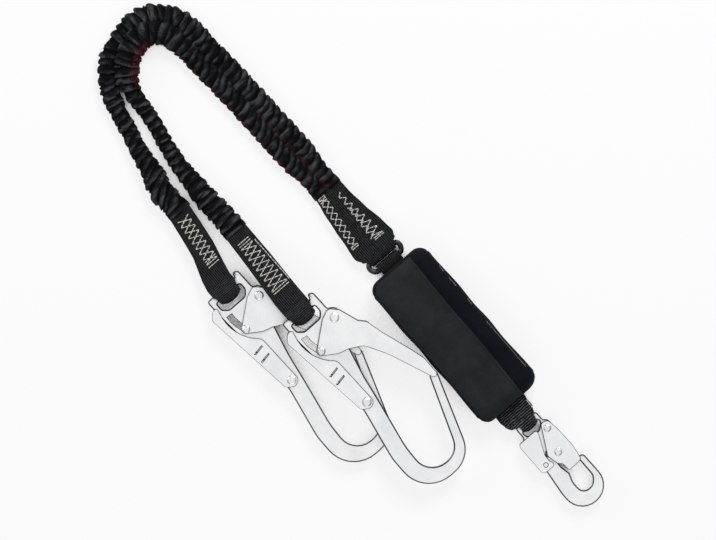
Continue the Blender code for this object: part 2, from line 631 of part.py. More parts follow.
def lie(rows, start_level, end_level, under):
    """The heights of a sleeve's middle: on the ground or on the sleeve under it, and up to the
    webbing's height at each end."""
    length = rows[-1, 3]
    levels = LEG_FLATNESS * rows[:, 2] / 2 + REST_GAP
    settle = [0, LEG_SETTLE, length - LEG_SETTLE, length]
    levels = np.maximum(levels, np.interp(rows[:, 3], settle, [start_level, 0, 0, end_level]))
    if under is not None:
        apart = np.linalg.norm(rows[:, None, :2] - under[None, :, :2], axis=2)
        reach = (rows[:, None, 2] + under[None, :, 2]) / 2 + REST_GAP
        rise = LEG_FLATNESS * reach * np.sqrt(np.clip(1 - (apart / reach) ** 2, 0, None))
        levels = np.maximum(levels, np.where(rise > 0, under[None, :, 4] + rise, 0).max(axis=1))
    spread = 3
    for combine in (np.max, np.mean):
        padded = np.pad(levels, spread, mode="edge")
        levels = combine(np.lib.stride_tricks.sliding_window_view(padded, 2 * spread + 1), axis=1)
    levels[0], levels[-1] = start_level, end_level
    return levels


def sleeve(name, route, start, end, start_level, end_level, under=None):
    """The gathered elastic sleeve of one leg: a flattened tube that swells at each gather."""
    rows = smooth_route(route, start, end)
    rows = np.column_stack([rows, lie(rows, start_level, end_level, under)])
    widths = rows[:, 2].copy()
    widths[1:-1:2] *= LEG_VALLEY
    finished(tube(name, rows[:, [0, 1, 4]], widths / 2, 2, LEG_FLATNESS), "webbing")
    return rows


def legs():
    """Both legs: the loop at the ring, the elastic sleeve, and the loop in the hook's eye."""
    flat = [(0, 0)]
    ring_bar = place("ring_legs_bar", RING_BAR_LEGS, RING_Y, RING_Z)
    eye_reach = bar_reach(EYE_BAR, BODY_THICK, BODY_CHAMFER)
    ring_end = RING_BAR_LEGS - RING_TAIL - REST_GAP
    beside = LEG_WEB_WIDTH / 2 + REST_GAP
    for name, middle, width in (
        ("leg_a", [(-88, 9), (-48, 10.2), (-18, 12.8), (-4, 13.5), (-1, beside), (0, beside)],
         [(-88, 16), (-48, 20), (-18, 25), (-4, 26), (-1, LEG_WEB_WIDTH), (0, LEG_WEB_WIDTH)]),
        ("leg_b", [(-88, -8), (-48, -11.7), (-18, -13.2), (-4, -13.6), (-1, -beside), (0, -beside)],
         [(-88, 16), (-48, 21.4), (-18, 25), (-4, 26), (-1, LEG_WEB_WIDTH), (0, LEG_WEB_WIDTH)]),
    ):
        strap(name + "_ring_loop", RING_TAIL, RING_REACH, 1, width, middle, flat, ring_bar)

    x, y = HOOK_A_PLACE
    seat = place("hook_a_place", x, y, HOOK_A_HEIGHT)
    end_level = HOOK_A_HEIGHT - 1.8
    strap("leg_a_hook_loop", HOOK_TAIL_A, eye_reach, 1,
          [(-HOOK_TAIL_A, 26), (-50, 28), (-24, HOOK_WEB_WIDTH), (0, HOOK_WEB_WIDTH)],
          [(-HOOK_TAIL_A, 16.5), (-75, 13), (-50, 9), (-24, 1), (-12, EYE_Y), (0, EYE_Y)],
          [(-HOOK_TAIL_A, end_level - HOOK_A_HEIGHT), (-30, 0)], seat, HOOK_SLACK)
    wear_sleeve("leg_a_wear_sleeve", eye_reach, HOOK_WEB_WIDTH, EYE_Y, seat)
    under = sleeve("leg_a_sleeve", ROUTE_A, (ring_end, RING_Y + 9.2, 16),
                   (x - HOOK_TAIL_A - REST_GAP, y + 16.5, 26), RING_Z, end_level)
    hook("hook_a", seat, scaffold_hook())

    x, y = HOOK_B_PLACE
    seat = place("hook_b_strap_place", x, y, HOOK_B_HEIGHT)
    drop = [(-HOOK_TAIL_B, -23.5), (-98, -20.5), (-70, -14), (-43, -7), (-25, -3.4), (-12.4, 0)]
    strap("leg_b_hook_loop", HOOK_TAIL_B, eye_reach, 1,
          [(-HOOK_TAIL_B, 26), (-24, HOOK_WEB_WIDTH), (0, HOOK_WEB_WIDTH)],
          [(-HOOK_TAIL_B, 2.5), (-70, 1), (-24, EYE_Y), (0, EYE_Y)], drop, seat, HOOK_SLACK)
    wear_sleeve("leg_b_wear_sleeve", eye_reach, HOOK_WEB_WIDTH, EYE_Y, seat)
    sleeve("leg_b_sleeve", ROUTE_B, (ring_end, RING_Y - 8, 16),
           (x - HOOK_TAIL_B - REST_GAP, y + 2.5, 26), RING_Z, HOOK_B_HEIGHT - 23.5, under)
    hook("hook_b", place("hook_b_place", x, y, HOOK_B_HEIGHT, HOOK_B_TILT), scaffold_hook())


def pack_shape(name, inset):
    """The pack's outside, or its lining at an inset: sections along X, narrowing at both ends."""
    half, wide, sides = PACK_LENGTH / 2, PACK_WIDTH / 2, 24
    runs = [PACK_RUN * (1 - math.cos(math.radians(angle))) for angle in (0, 25, 45, 65, 90)]
    left = [-half + run for run in runs] + [-half + 0.3 * PACK_LENGTH]
    rings = []
    for x in left + [0.0] + [-x for x in reversed(left)]:
        past = max(0.0, abs(x) - half + PACK_RUN) / PACK_RUN
        share = 1 - math.sqrt(max(0.0, 1 - past * past))
        low_end, high_end = PACK_RING_END if x < 0 else PACK_SNAP_END
        low, high = -wide + share * (low_end + wide), wide + share * (high_end - wide)
        tall = PACK_HEIGHT - PACK_CROWN * (1 - math.cos(math.pi * x / PACK_LENGTH))
        tall += share * (PACK_END_HEIGHT - tall)
        for k in range(sides):
            angle = 2 * math.pi * (k + 0.5) / sides
            cos, sin = math.cos(angle), math.sin(angle)
            y = (high - low - 2 * inset) / 2 * math.copysign(abs(cos) ** 0.5, cos)
            z = tall / 2 + (tall / 2 + 1.0 - inset) * math.copysign(abs(sin) ** 0.62, sin)
            rings.append((x * (1 - inset / half), (low + high) / 2 + y,
                          min(max(z, inset), tall - inset)))
    faces = [tuple(reversed(range(sides))), tuple(range(len(rings) - sides, len(rings)))]
    for low in range(0, len(rings) - sides, sides):
        faces += [(low + k, low + (k + 1) % sides, low + sides + (k + 1) % sides, low + sides + k)
                  for k in range(sides)]
    return solid(name, rings, faces)


def fold_line():
    """The folded tear webbing's line, from the ring's end up through the folds and down again."""
    end = PACK_LENGTH / 2 - TAIL_INSIDE - REST_GAP
    drop_at = end - FOLD_DROP
    turn_at = drop_at - WEB_THICK - REST_GAP - FOLD_PITCH / 2
    level, heading = RING_Z, 1
    line = [(-end, level)]
    for _ in range(FOLDS):
        for i in range(5):
            angle = math.pi * (i / 4 - 0.5)
            line.append((heading * (turn_at + FOLD_PITCH / 2 * math.cos(angle)),
                         level + FOLD_PITCH / 2 * (1 + math.sin(angle))))
        level += FOLD_PITCH
        heading = -heading
    corner = FOLD_PITCH / 2
    line += [(drop_at - corner, level), (drop_at, level - corner), (drop_at, RING_Z + corner),
             (drop_at + corner, RING_Z), (end, RING_Z)]
    return line


def pack():
    """The absorber: a fabric cover open at both ends, folded tear webbing, and a loop at each end."""
    half = PACK_LENGTH / 2
    axis = place("pack_axis", RING_BAR_PACK, RING_Y, RING_Z)
    snap_x = half + SNAP_FROM_PACK
    snap_seat = place("snap_place", snap_x, SNAP_Y, SNAP_HEIGHT)

    cover = pack_shape("pack_cover", 0.0)
    cut(cover, pack_shape("pack_lining", PACK_WALL))
    snap_width = PACK_SNAP_END[1] - PACK_SNAP_END[0] - 6
    snap_middle = sum(PACK_SNAP_END) / 2
    for label, x, middle, width in (("ring", -half, RING_Y, PACK_WEB_WIDTH),
                                    ("snap", half, snap_middle, snap_width)):
        edge = width / 2 + SIDE_GAP
        corners = [(x - 5, middle - edge, 0), (x + 5, middle - edge, 0),
                   (x + 5, middle + edge, 0), (x - 5, middle + edge, 0)]
        cut(cover, prism(f"pack_{label}_mouth", corners, RING_Z - MOUTH_HEIGHT / 2,
                         RING_Z + MOUTH_HEIGHT / 2))
    hang_on(finished(cover, "cover", 50), axis)

    flat = [(0, 0)]
    strap("pack_ring_loop", RING_TO_PACK + TAIL_INSIDE, RING_REACH, -1, [(0, PACK_WEB_WIDTH)], flat,
          flat, axis)
    folds = band("absorber_webbing", fold_line(), WEB_THICK, [(0, FOLD_WIDTH)], flat, flat, None)
    hang_on(finished(folds, "tear_webbing", 50), axis)

    shift = snap_middle - SNAP_Y
    reach = bar_reach(SNAP_BAR, SNAP_THICK, SNAP_CHAMFER)
    strap("pack_snap_loop", SNAP_FROM_PACK + TAIL_INSIDE, reach, 1,
          [(-SNAP_FROM_PACK, snap_width), (-11, snap_width - 2), (-4.5, 31), (-2, SNAP_WEB_WIDTH)],
          [(-SNAP_FROM_PACK, shift), (-11, shift), (-4.5, -3.4), (-2, SNAP_EYE_Y)],
          [(-SNAP_FROM_PACK, RING_Z - SNAP_HEIGHT), (-11, 0)], snap_seat)
    hook("snap", snap_seat, snap_hook())
    hang_on(snap_seat, axis)


def main():
    for part in list(bpy.data.objects):
        bpy.data.objects.remove(part, do_unlink=True)
    link_ring()
    pack()
    legs()


main()
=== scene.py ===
"""Looks for a twin shock-absorbing lanyard that lies flat and is seen from straight above. Sizes
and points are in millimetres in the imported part's own frame, and turn into metres at MM."""

import json
import math

import bpy
import numpy as np
from mathutils import Matrix, Vector
from mathutils.bvhtree import BVHTree

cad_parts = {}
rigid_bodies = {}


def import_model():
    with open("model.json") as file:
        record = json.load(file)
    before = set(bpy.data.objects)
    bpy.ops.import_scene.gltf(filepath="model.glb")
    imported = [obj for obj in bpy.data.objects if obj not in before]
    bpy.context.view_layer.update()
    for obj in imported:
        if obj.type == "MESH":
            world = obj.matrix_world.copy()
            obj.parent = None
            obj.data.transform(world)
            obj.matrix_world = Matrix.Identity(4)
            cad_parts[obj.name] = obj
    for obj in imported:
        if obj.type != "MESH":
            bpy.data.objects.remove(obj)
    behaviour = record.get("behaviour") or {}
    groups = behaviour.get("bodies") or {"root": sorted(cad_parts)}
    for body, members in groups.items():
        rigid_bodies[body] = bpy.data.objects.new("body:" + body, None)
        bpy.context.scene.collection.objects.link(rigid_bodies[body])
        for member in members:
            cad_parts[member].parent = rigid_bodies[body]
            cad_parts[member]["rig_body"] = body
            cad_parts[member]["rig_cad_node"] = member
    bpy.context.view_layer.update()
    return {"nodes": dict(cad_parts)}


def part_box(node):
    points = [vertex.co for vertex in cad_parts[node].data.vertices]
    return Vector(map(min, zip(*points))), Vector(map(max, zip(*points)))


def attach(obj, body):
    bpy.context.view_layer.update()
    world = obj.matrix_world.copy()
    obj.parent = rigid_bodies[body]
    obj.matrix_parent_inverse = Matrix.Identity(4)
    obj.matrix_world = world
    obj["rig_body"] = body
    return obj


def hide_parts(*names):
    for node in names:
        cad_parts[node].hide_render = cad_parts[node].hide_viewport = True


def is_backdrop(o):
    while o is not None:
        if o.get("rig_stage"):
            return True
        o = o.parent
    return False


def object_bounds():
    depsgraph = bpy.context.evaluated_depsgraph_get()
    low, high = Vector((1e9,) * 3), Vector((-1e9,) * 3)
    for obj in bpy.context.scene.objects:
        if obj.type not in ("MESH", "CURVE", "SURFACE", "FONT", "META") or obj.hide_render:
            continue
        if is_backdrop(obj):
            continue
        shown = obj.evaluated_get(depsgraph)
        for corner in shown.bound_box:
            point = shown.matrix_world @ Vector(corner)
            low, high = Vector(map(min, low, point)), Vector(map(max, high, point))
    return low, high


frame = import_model()
nodes = frame["nodes"]
bpy.ops.object.select_all(action="DESELECT")

MM = 0.001

# The view: straight down, turned so that the pack's long way runs down to the right
PIXEL = 1.07              # millimetres across one pixel
VIEW_TURN = 49.0
VIEW_MIDDLE = (-119.2, -31.9, 12.0)
VIEW_HEIGHT = 4200.0
PICTURE_WIDTH = 716       # pixels
SENSOR = 36.0

# The gathered legs, as the solids have them
LEG_FLATNESS = 0.62       # height as a share of width
LEG_PITCH = 9.0           # from one gather to the next
LEG_END = 2.0             # a sleeve's smooth end
LEG_SETTLE = 55.0         # over which a sleeve comes down from the webbing's height
LEG_REST = 0.3            # over the ground or the leg below
LEG_OVER = 5.0            # how far a sleeve goes into the webbing at each end
LEG_REACH = 15.0          # the furthest that a gather stands out from the leg's middle
LEG_STATION = 0.75        # between two rings of points
LEG_SIDES = 56
SWELL_SKEW = 1.6          # how late in its length a gather is fullest
RING_HEIGHT = 7.0
LEG_A_START, LEG_A_FINISH, LEG_A_END_HEIGHT = (-209.3, 8.2, 16), (-295.3, -135, 26), 8.7
LEG_B_START, LEG_B_FINISH, LEG_B_END_HEIGHT = (-209.3, -9, 16), (-240.3, -103.5, 26), 10.5
ROUTE_A = [
    (-255, 9.3, 19.3), (-305, 8.2, 19.5), (-355, 7.2, 19.5), (-405, 4.8, 20), (-435, 2.8, 20.5),
    (-452, -2, 20), (-463, -10, 20), (-473, -24, 22), (-476, -38, 22), (-475, -52, 22),
    (-471, -68, 22), (-464, -84, 22), (-453, -96, 22), (-438, -106, 22), (-417, -114, 19),
    (-395, -119, 19), (-370, -125, 20), (-345, -129.5, 24),
]
ROUTE_B = [
    (-255, -11.2, 19), (-305, -12.6, 19.3), (-355, -13.8, 19.5), (-395, -16.5, 20),
    (-425, -18, 21), (-446, -24, 24), (-457, -39, 26), (-456.5, -54, 26), (-450, -68, 26),
    (-438, -81, 24), (-423, -88.5, 20), (-405, -91, 18), (-385, -93, 18), (-355, -99, 17),
    (-340, -101.5, 18), (-320, -103.5, 20), (-305, -103.5, 23), (-285, -104.5, 25),
]


# ---- camera and light ----

bpy.ops.object.camera_add(
    location=Vector(VIEW_MIDDLE) * MM + Vector((0, 0, VIEW_HEIGHT * MM)),
    rotation=(0, 0, math.radians(VIEW_TURN)))
camera = bpy.context.object
camera.data.sensor_width = SENSOR
camera.data.lens = SENSOR * VIEW_HEIGHT / (PICTURE_WIDTH * PIXEL)
camera.data.clip_end = 50.0
bpy.context.scene.camera = camera
bpy.context.scene.view_settings.view_transform = "Standard"


def softbox(name, place, aim, size, watts):
    """A square lamp that looks at a point on the lanyard."""
    bpy.ops.object.light_add(type="AREA", location=place)
    lamp = bpy.context.object
    lamp.name = name
    lamp.data.shape = "SQUARE"
    lamp.data.size = size
    lamp.data.energy = watts
    lamp.rotation_euler = (Vector(aim) - Vector(place)).to_track_quat("-Z", "Y").to_euler()


softbox("key_lamp", (-0.9, 1.5, 1.7), (-0.15, -0.05, 0), 0.9, 34)
softbox("fill_lamp", (1.2, -1.1, 1.6), (-0.1, -0.05, 0), 1.4, 8)
softbox("rim_lamp", (-1.7, -0.9, 0.8), (-0.15, -0.05, 0), 0.8, 9)


def put(tree, kind, inputs=(), **settings):
    """Adds a shader node, with its settings and the values or links of its inputs."""
    made = tree.nodes.new(kind)
    for name, value in settings.items():
        setattr(made, name, value)
    for name, value in dict(inputs).items():
        if isinstance(value, bpy.types.NodeSocket):
            tree.links.new(value, made.inputs[name])
        else:
            made.inputs[name].default_value = value
    return made


sky = bpy.data.worlds.new("studio")
bpy.context.scene.world = sky
sky.use_nodes = True
air = sky.node_tree
toward = put(air, "ShaderNodeSeparateXYZ",
             {"Vector": put(air, "ShaderNodeTexCoord").outputs["Generated"]}).outputs["Z"]
level = put(air, "ShaderNodeMapRange", {"Value": toward, "From Min": 0.3, "From Max": 0.93,
                                        "To Min": 0.04, "To Max": 0.88}).outputs["Result"]
rays = put(air, "ShaderNodeLightPath").outputs
seen = put(air, "ShaderNodeMath", {0: rays["Is Camera Ray"], 1: rays["Is Transmission Ray"]},
           operation="MAXIMUM").outputs[0]
lit = put(air, "ShaderNodeMix", {"Factor": rays["Is Glossy Ray"], "A": 0.36, "B": level},
          data_type="FLOAT").outputs[0]
strength = put(air, "ShaderNodeMix", {"Factor": seen, "A": lit, "B": 1.0},
               data_type="FLOAT").outputs[0]
air.links.new(strength, air.nodes["Background"].inputs["Strength"])
air.nodes["Background"].inputs["Color"].default_value = (1, 1, 1, 1)

bpy.ops.mesh.primitive_plane_add(size=9, location=(-0.12, -0.03, -0.0002))
floor = bpy.context.object
floor.name = "studio_floor"
pale = bpy.data.materials.new("pale_floor")
pale.use_nodes = True
ground = pale.node_tree
ground.nodes["Principled BSDF"].inputs["Base Color"].default_value = (0.9, 0.9, 0.9, 1)
ground.nodes["Principled BSDF"].inputs["Roughness"].default_value = 0.9
paths = put(ground, "ShaderNodeLightPath").outputs
plainly = put(ground, "ShaderNodeMath", {0: paths["Is Camera Ray"], 1: paths["Is Glossy Ray"]},
              operation="MAXIMUM").outputs[0]
# Deep in a narrow gap between two pieces the floor is dark
GAP_REACH = 45.0
nearby = put(ground, "ShaderNodeAmbientOcclusion", {"Distance": GAP_REACH * MM},
             samples=6).outputs["AO"]
open_air = put(ground, "ShaderNodeMapRange", {"Value": nearby, "From Min": 0.18, "From Max": 0.26,
                                              "To Min": 0.0, "To Max": 0.8}).outputs["Result"]
share = put(ground, "ShaderNodeMath", {0: plainly, 1: open_air}, operation="MULTIPLY").outputs[0]
glow = put(ground, "ShaderNodeEmission", {"Color": (1, 1, 1, 1), "Strength": 1.0})
mixed = put(ground, "ShaderNodeMixShader", {0: share,
                                            1: ground.nodes["Principled BSDF"].outputs[0],
                                            2: glow.outputs[0]})
ground.links.new(mixed.outputs[0], ground.nodes["Material Output"].inputs["Surface"])
floor.data.materials.append(pale)
floor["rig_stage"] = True


# ---- finishes ----

def finish(name, roughness, metallic=0.0, sheen=0.0, gloss=0.5):
    """A material with its Principled shader, ready for the patterns that follow."""
    made = bpy.data.materials.new(name)
    made.use_nodes = True
    shader = made.node_tree.nodes["Principled BSDF"]
    shader.inputs["Roughness"].default_value = roughness
    shader.inputs["Metallic"].default_value = metallic
    shader.inputs["Specular IOR Level"].default_value = gloss
    if sheen:
        shader.inputs["Sheen Weight"].default_value = sheen
        shader.inputs["Sheen Roughness"].default_value = 0.5
    return made, made.node_tree, shader


def noise(tree, where, size, detail=3.0, rough=0.55):
    return put(tree, "ShaderNodeTexNoise", {"Vector": where, "Scale": 1 / (size * MM),
                                            "Detail": detail, "Roughness": rough}).outputs["Fac"]


def yarns(tree, where, direction, pitch, wander=0.0):
    """Even ridges across a direction, one for each yarn."""
    return put(tree, "ShaderNodeTexWave",
               {"Vector": where, "Scale": 2 * math.pi / (20 * pitch * MM), "Distortion": wander,
                "Detail": 1.0, "Detail Scale": 2.0},
               bands_direction=direction).outputs["Fac"]


def times(tree, a, b):
    return put(tree, "ShaderNodeMath", {0: a, 1: b}, operation="MULTIPLY").outputs[0]


def plus(tree, a, b):
    return put(tree, "ShaderNodeMath", {0: a, 1: b}, operation="ADD").outputs[0]


def shades(tree, by, stops):
    """A colour that runs through stops as a value goes from 0 to 1."""
    ramp = put(tree, "ShaderNodeValToRGB", {"Fac": by})
    ends = ramp.color_ramp.elements
    while len(ends) < len(stops):
        ends.new(0.5)
    for end, (at, colour) in zip(ends, stops):
        end.position = at
        end.color = (*colour, 1)
    return ramp.outputs["Color"]


def raise_by(tree, shader, height, depth, strength=1.0, after=None):
    bump = {"Height": height, "Distance": depth * MM, "Strength": strength}
    if after is not None:
        bump["Normal"] = after
    out = put(tree, "ShaderNodeBump", bump).outputs["Normal"]
    tree.links.new(out, shader.inputs["Normal"])
    return out


def placed(tree, kind="Object"):
    return put(tree, "ShaderNodeTexCoord").outputs[kind]


def spread_of(tree, value, low, high):
    return put(tree, "ShaderNodeMapRange", {"Value": value, "From Min": 0.0, "From Max": 1.0,
                                            "To Min": low, "To Max": high}).outputs["Result"]


def painted_crevice_shade(tree, reach, low):
    """Painted shade: a value from a low one, where other faces stand close by, up to 1 on open
    ones.
    """
    near = put(tree, "ShaderNodeAmbientOcclusion", {"Distance": reach * MM},
               samples=8).outputs["AO"]
    return put(tree, "ShaderNodeMapRange", {"Value": near, "From Min": 0.3, "From Max": 0.85,
                                            "To Min": low, "To Max": 1.0}).outputs["Result"]


def shaded(tree, colour, by):
    """A colour made darker by a value from 0 to 1."""
    return put(tree, "ShaderNodeVectorMath", {"Vector": colour, "Scale": by},
               operation="SCALE").outputs["Vector"]


def plated(name, dark, bright, roughness, grain):
    """Bright zinc plate over forged or pressed steel, faintly clouded, with painted shade in its
    corners.
    """
    made, tree, shader = finish(name, roughness, metallic=1.0)
    at = placed(tree)
    cloud = noise(tree, at, 26, 3)
    fine = noise(tree, at, grain, 3, 0.6)
    tone = plus(tree, times(tree, cloud, 0.75), times(tree, fine, 0.25))
    plate = shades(tree, tone, [(0.32, dark), (0.62, bright)])
    # The plate's colour is darkened by painted shade where other faces stand close.
    tree.links.new(shaded(tree, plate, painted_crevice_shade(tree, 3.6, 0.06)), shader.inputs["Base Color"])
    tree.links.new(spread_of(tree, fine, roughness - 0.05, roughness + 0.07),
                   shader.inputs["Roughness"])
    raise_by(tree, shader, cloud, 0.05, 0.2)
    return made


def woven(name, low, high, across, along, ridge):
    """Flat webbing: lengthwise ribs over a close crosswise yarn."""
    made, tree, shader = finish(name, 0.86, sheen=0.01, gloss=0.05)
    at = placed(tree)
    ribs = yarns(tree, at, "Y", across, 0.4)
    picks = yarns(tree, at, "X", along, 0.6)
    weave = times(tree, plus(tree, ribs, 0.4), plus(tree, picks, 0.35))
    patch = noise(tree, at, 8, 5, 0.65)
    fuzz = noise(tree, at, 1.3, 3)
    tone = plus(tree, times(tree, weave, 0.5), times(tree, patch, 0.55))
    tone = plus(tree, tone, times(tree, fuzz, 0.3))
    middle = tuple(0.22 * h for h in high)
    cloth = shades(tree, tone, [(0.5, low), (0.8, middle), (1.0, high)])
    # The cloth's colour is darkened by painted shade where other faces stand close.
    tree.links.new(shaded(tree, cloth, painted_crevice_shade(tree, 5, 0.3)), shader.inputs["Base Color"])
    tree.links.new(spread_of(tree, patch, 0.74, 0.95), shader.inputs["Roughness"])
    raise_by(tree, shader, plus(tree, weave, times(tree, fuzz, 0.3)), ridge, 0.8)
    return made


def bunched():
    """The pack's webbing where it is drawn together for the snap hook: bold, wavy cross ribs, with
    painted shade in their valleys and a painted highlight on their tops.
    """
    made, tree, shader = finish("bunched_webbing", 0.8, sheen=0.01, gloss=0.06)
    at = placed(tree)
    ribs = yarns(tree, at, "X", 2.5, 2.6)
    picks = yarns(tree, at, "Y", 0.9, 0.8)
    patch = noise(tree, at, 5, 4)
    tone = plus(tree, times(tree, ribs, plus(tree, times(tree, patch, 0.9), 0.25)),
                times(tree, picks, 0.12))
    # The colour runs from painted shade in the rib valleys to a painted highlight on the rib tops.
    cloth = shades(tree, tone, [(0.15, (0.003, 0.0032, 0.0036)), (0.5, (0.014, 0.015, 0.016)),
                                (0.9, (0.17, 0.175, 0.18))])
    tree.links.new(cloth, shader.inputs["Base Color"])
    raise_by(tree, shader, plus(tree, ribs, times(tree, patch, 0.5)), 0.6, 0.9)
    return made


def gathered():
    """The legs' elastic sleeve: ribbed cloth on the piece's own map, with painted shade down in
    each gather and a painted highlight on each crest, and a wine-red marker thread along its inner
    edge."""
    made, tree, shader = finish("gathered_webbing", 0.8, sheen=0.01, gloss=0.06)
    at = placed(tree, "UV")
    ribs = yarns(tree, at, "X", 1.5, 0.5)
    picks = yarns(tree, at, "Y", 0.9, 0.5)
    weave = times(tree, plus(tree, ribs, 0.5), plus(tree, picks, 0.3))
    where = placed(tree)
    patch = noise(tree, where, 7, 5, 0.65)
    # The crest attribute carries painted shade and highlight: dark in each gather's valley and on
    # the tube's underside, light on the crests.
    crest = put(tree, "ShaderNodeAttribute", attribute_name="crest").outputs["Fac"]
    marker = put(tree, "ShaderNodeAttribute", attribute_name="marker").outputs["Fac"]
    streak = noise(tree, at, 1.1, 3, 0.6)
    tone = plus(tree, times(tree, patch, 0.65), times(tree, weave, 0.2))
    tone = times(tree, crest, plus(tree, tone, times(tree, streak, 0.35)))
    cloth = shades(tree, tone, [(0.12, (0.0012, 0.0013, 0.0015)), (0.36, (0.006, 0.0065, 0.007)),
                                (0.6, (0.03, 0.032, 0.034)), (0.85, (0.085, 0.09, 0.095))])
    dashes = times(tree, marker, spread_of(tree, noise(tree, where, 1.9, 2), -4.6, 5.4))
    wine = put(tree, "ShaderNodeMix", {"Factor": times(tree, dashes, plus(tree, crest, 0.25))},
               data_type="RGBA")
    # The colour sockets of a Mix node share their names with its number sockets
    tree.links.new(cloth, wine.inputs[6])
    wine.inputs[7].default_value = (0.13, 0.011, 0.026, 1)
    tree.links.new(wine.outputs[2], shader.inputs["Base Color"])
    folds = noise(tree, where, 2.2, 4, 0.7)
    raise_by(tree, shader, plus(tree, times(tree, weave, 0.4), folds), 1.0, 1.0)
    return made


def pack_cloth(name, low, high):
    """The pack's close plain-woven cover, with painted shade where other faces stand close."""
    made, tree, shader = finish(name, 0.8, sheen=0.02, gloss=0.05)
    at = placed(tree)
    grain = times(tree, yarns(tree, at, "X", 0.7, 0.3), yarns(tree, at, "Y", 0.7, 0.3))
    patch = noise(tree, at, 34, 4, 0.6)
    fuzz = noise(tree, at, 1.6, 4)
    tone = plus(tree, times(tree, patch, 0.7), times(tree, plus(tree, grain, fuzz), 0.2))
    cloth = shades(tree, tone, [(0.25, low), (0.75, high)])
    # The cloth's colour is darkened by painted shade where other faces stand close.
    tree.links.new(shaded(tree, cloth, painted_crevice_shade(tree, 4, 0.25)), shader.inputs["Base Color"])
    tree.links.new(spread_of(tree, patch, 0.68, 0.9), shader.inputs["Roughness"])
    folds = noise(tree, at, 16, 3, 0.5)
    raise_by(tree, shader, plus(tree, times(tree, grain, 0.15), folds), 1.1, 0.7)
    return made


def thread(name, colour):
    made, tree, shader = finish(name, 0.7, sheen=0.1, gloss=0.2)
    at = placed(tree)
    worn = noise(tree, at, 2.6, 3)
    fuzz = noise(tree, at, 0.8, 2)
    dull = tuple(c * 0.4 for c in colour)
    tree.links.new(shades(tree, plus(tree, times(tree, worn, 0.7), times(tree, fuzz, 0.3)),
                          [(0.34, dull), (0.6, colour)]), shader.inputs["Base Color"])
    raise_by(tree, shader, fuzz, 0.2, 0.6)
    return made


BODY_PLATE = plated("zinc_forging", (0.8, 0.81, 0.82), (0.93, 0.935, 0.94), 0.3, 1.4)
SHEET_PLATE = plated("zinc_sheet", (0.82, 0.83, 0.84), (0.93, 0.935, 0.94), 0.32, 1.4)
RIVET_PLATE = plated("zinc_rivet", (0.72, 0.73, 0.74), (0.9, 0.905, 0.91), 0.3, 1.0)
SPRING_WIRE = plated("oiled_spring_wire", (0.2, 0.2, 0.21), (0.42, 0.42, 0.43), 0.35, 0.8)
RING_BLACK = plated("blackened_ring", (0.014, 0.014, 0.016), (0.06, 0.06, 0.066), 0.3, 1.2)
# A dark finish for the broken edges of the hooks' steel: painted shade along the outlines.
PAINTED_EDGE_SHADE = plated("painted_edge_shade", (0.05, 0.051, 0.053), (0.19, 0.192, 0.196), 0.4, 1.2)
WEBBING = woven("black_webbing", (0.0012, 0.0013, 0.0016), (0.05, 0.052, 0.054), 2.2, 0.85, 0.3)
WEAR_CLOTH = woven("coarse_wear_sleeve", (0.002, 0.0022, 0.0026), (0.075, 0.08, 0.083), 0.8, 2.0,
                   0.4)
BUNCHED_WEB = bunched()
SLEEVE_CLOTH = gathered()
FLAP_CLOTH = pack_cloth("flap_cloth", (0.009, 0.0115, 0.0122), (0.031, 0.036, 0.038))
PACK_CLOTH = pack_cloth("pack_cloth", (0.003, 0.0036, 0.0056), (0.0095, 0.0108, 0.016))
TEAR_WEB = woven("undyed_tear_webbing", (0.3, 0.29, 0.26), (0.9, 0.88, 0.82), 1.5, 0.85, 0.25)
WHITE_THREAD = thread("off_white_thread", (0.74, 0.73, 0.7))
GREY_THREAD = thread("grey_hem_thread", (0.3, 0.3, 0.3))
BLACK_THREAD = thread("black_thread", (0.012, 0.012, 0.013))

for name, node in nodes.items():
    if name.endswith("_pin"):
        look = RIVET_PLATE
    elif name.endswith("_spring"):
        look = SPRING_WIRE
    elif name == "link_ring":
        look = RING_BLACK
    else:
        continue
    for place in node.material_slots:
        place.material = look


# ---- making and placing pieces ----

def only(piece):
    bpy.ops.object.select_all(action="DESELECT")
    piece.select_set(True)
    bpy.context.view_layer.objects.active = piece


def dressed(piece, look, body, slot, *replaced):
    piece.data.materials.clear()
    piece.data.materials.append(look)
    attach(piece, body)
    if replaced:
        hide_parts(*replaced)
    return piece


def welded_copy(node, name):
    """A copy of a solid of the frame, its loose triangles welded into one skin."""
    only(nodes[node])
    bpy.ops.object.duplicate()
    piece = bpy.context.object
    piece.name = name
    piece.parent = None
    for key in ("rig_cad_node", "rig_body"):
        if key in piece:
            del piece[key]
    only(piece)
    if piece.data.has_custom_normals:
        bpy.ops.mesh.customdata_custom_splitnormals_clear()
    bpy.ops.object.mode_set(mode="EDIT")
    bpy.ops.mesh.select_all(action="SELECT")
    bpy.ops.mesh.remove_doubles(threshold=2e-6)
    bpy.ops.mesh.tris_convert_to_quads(face_threshold=math.radians(1),
                                       shape_threshold=math.radians(70))
    bpy.ops.object.mode_set(mode="OBJECT")
    return piece


def rounded_edges(piece, width, segments, angle, clamped=True):
    """Rounds a piece's sharp edges and shades what is left smooth."""
    only(piece)
    edge = piece.modifiers.new("edge", "BEVEL")
    edge.width = width * MM
    edge.segments = segments
    edge.limit_method = "ANGLE"
    edge.angle_limit = math.radians(angle)
    edge.use_clamp_overlap = clamped
    bpy.ops.object.modifier_apply(modifier="edge")
    bpy.ops.object.shade_smooth_by_angle(angle=math.radians(38))


# ---- the hooks' steel, with painted shade on their broken edges ----

SLANTED = (0.3, 0.9)      # how far up a broken edge's face looks; faces in this range get the painted edge shade
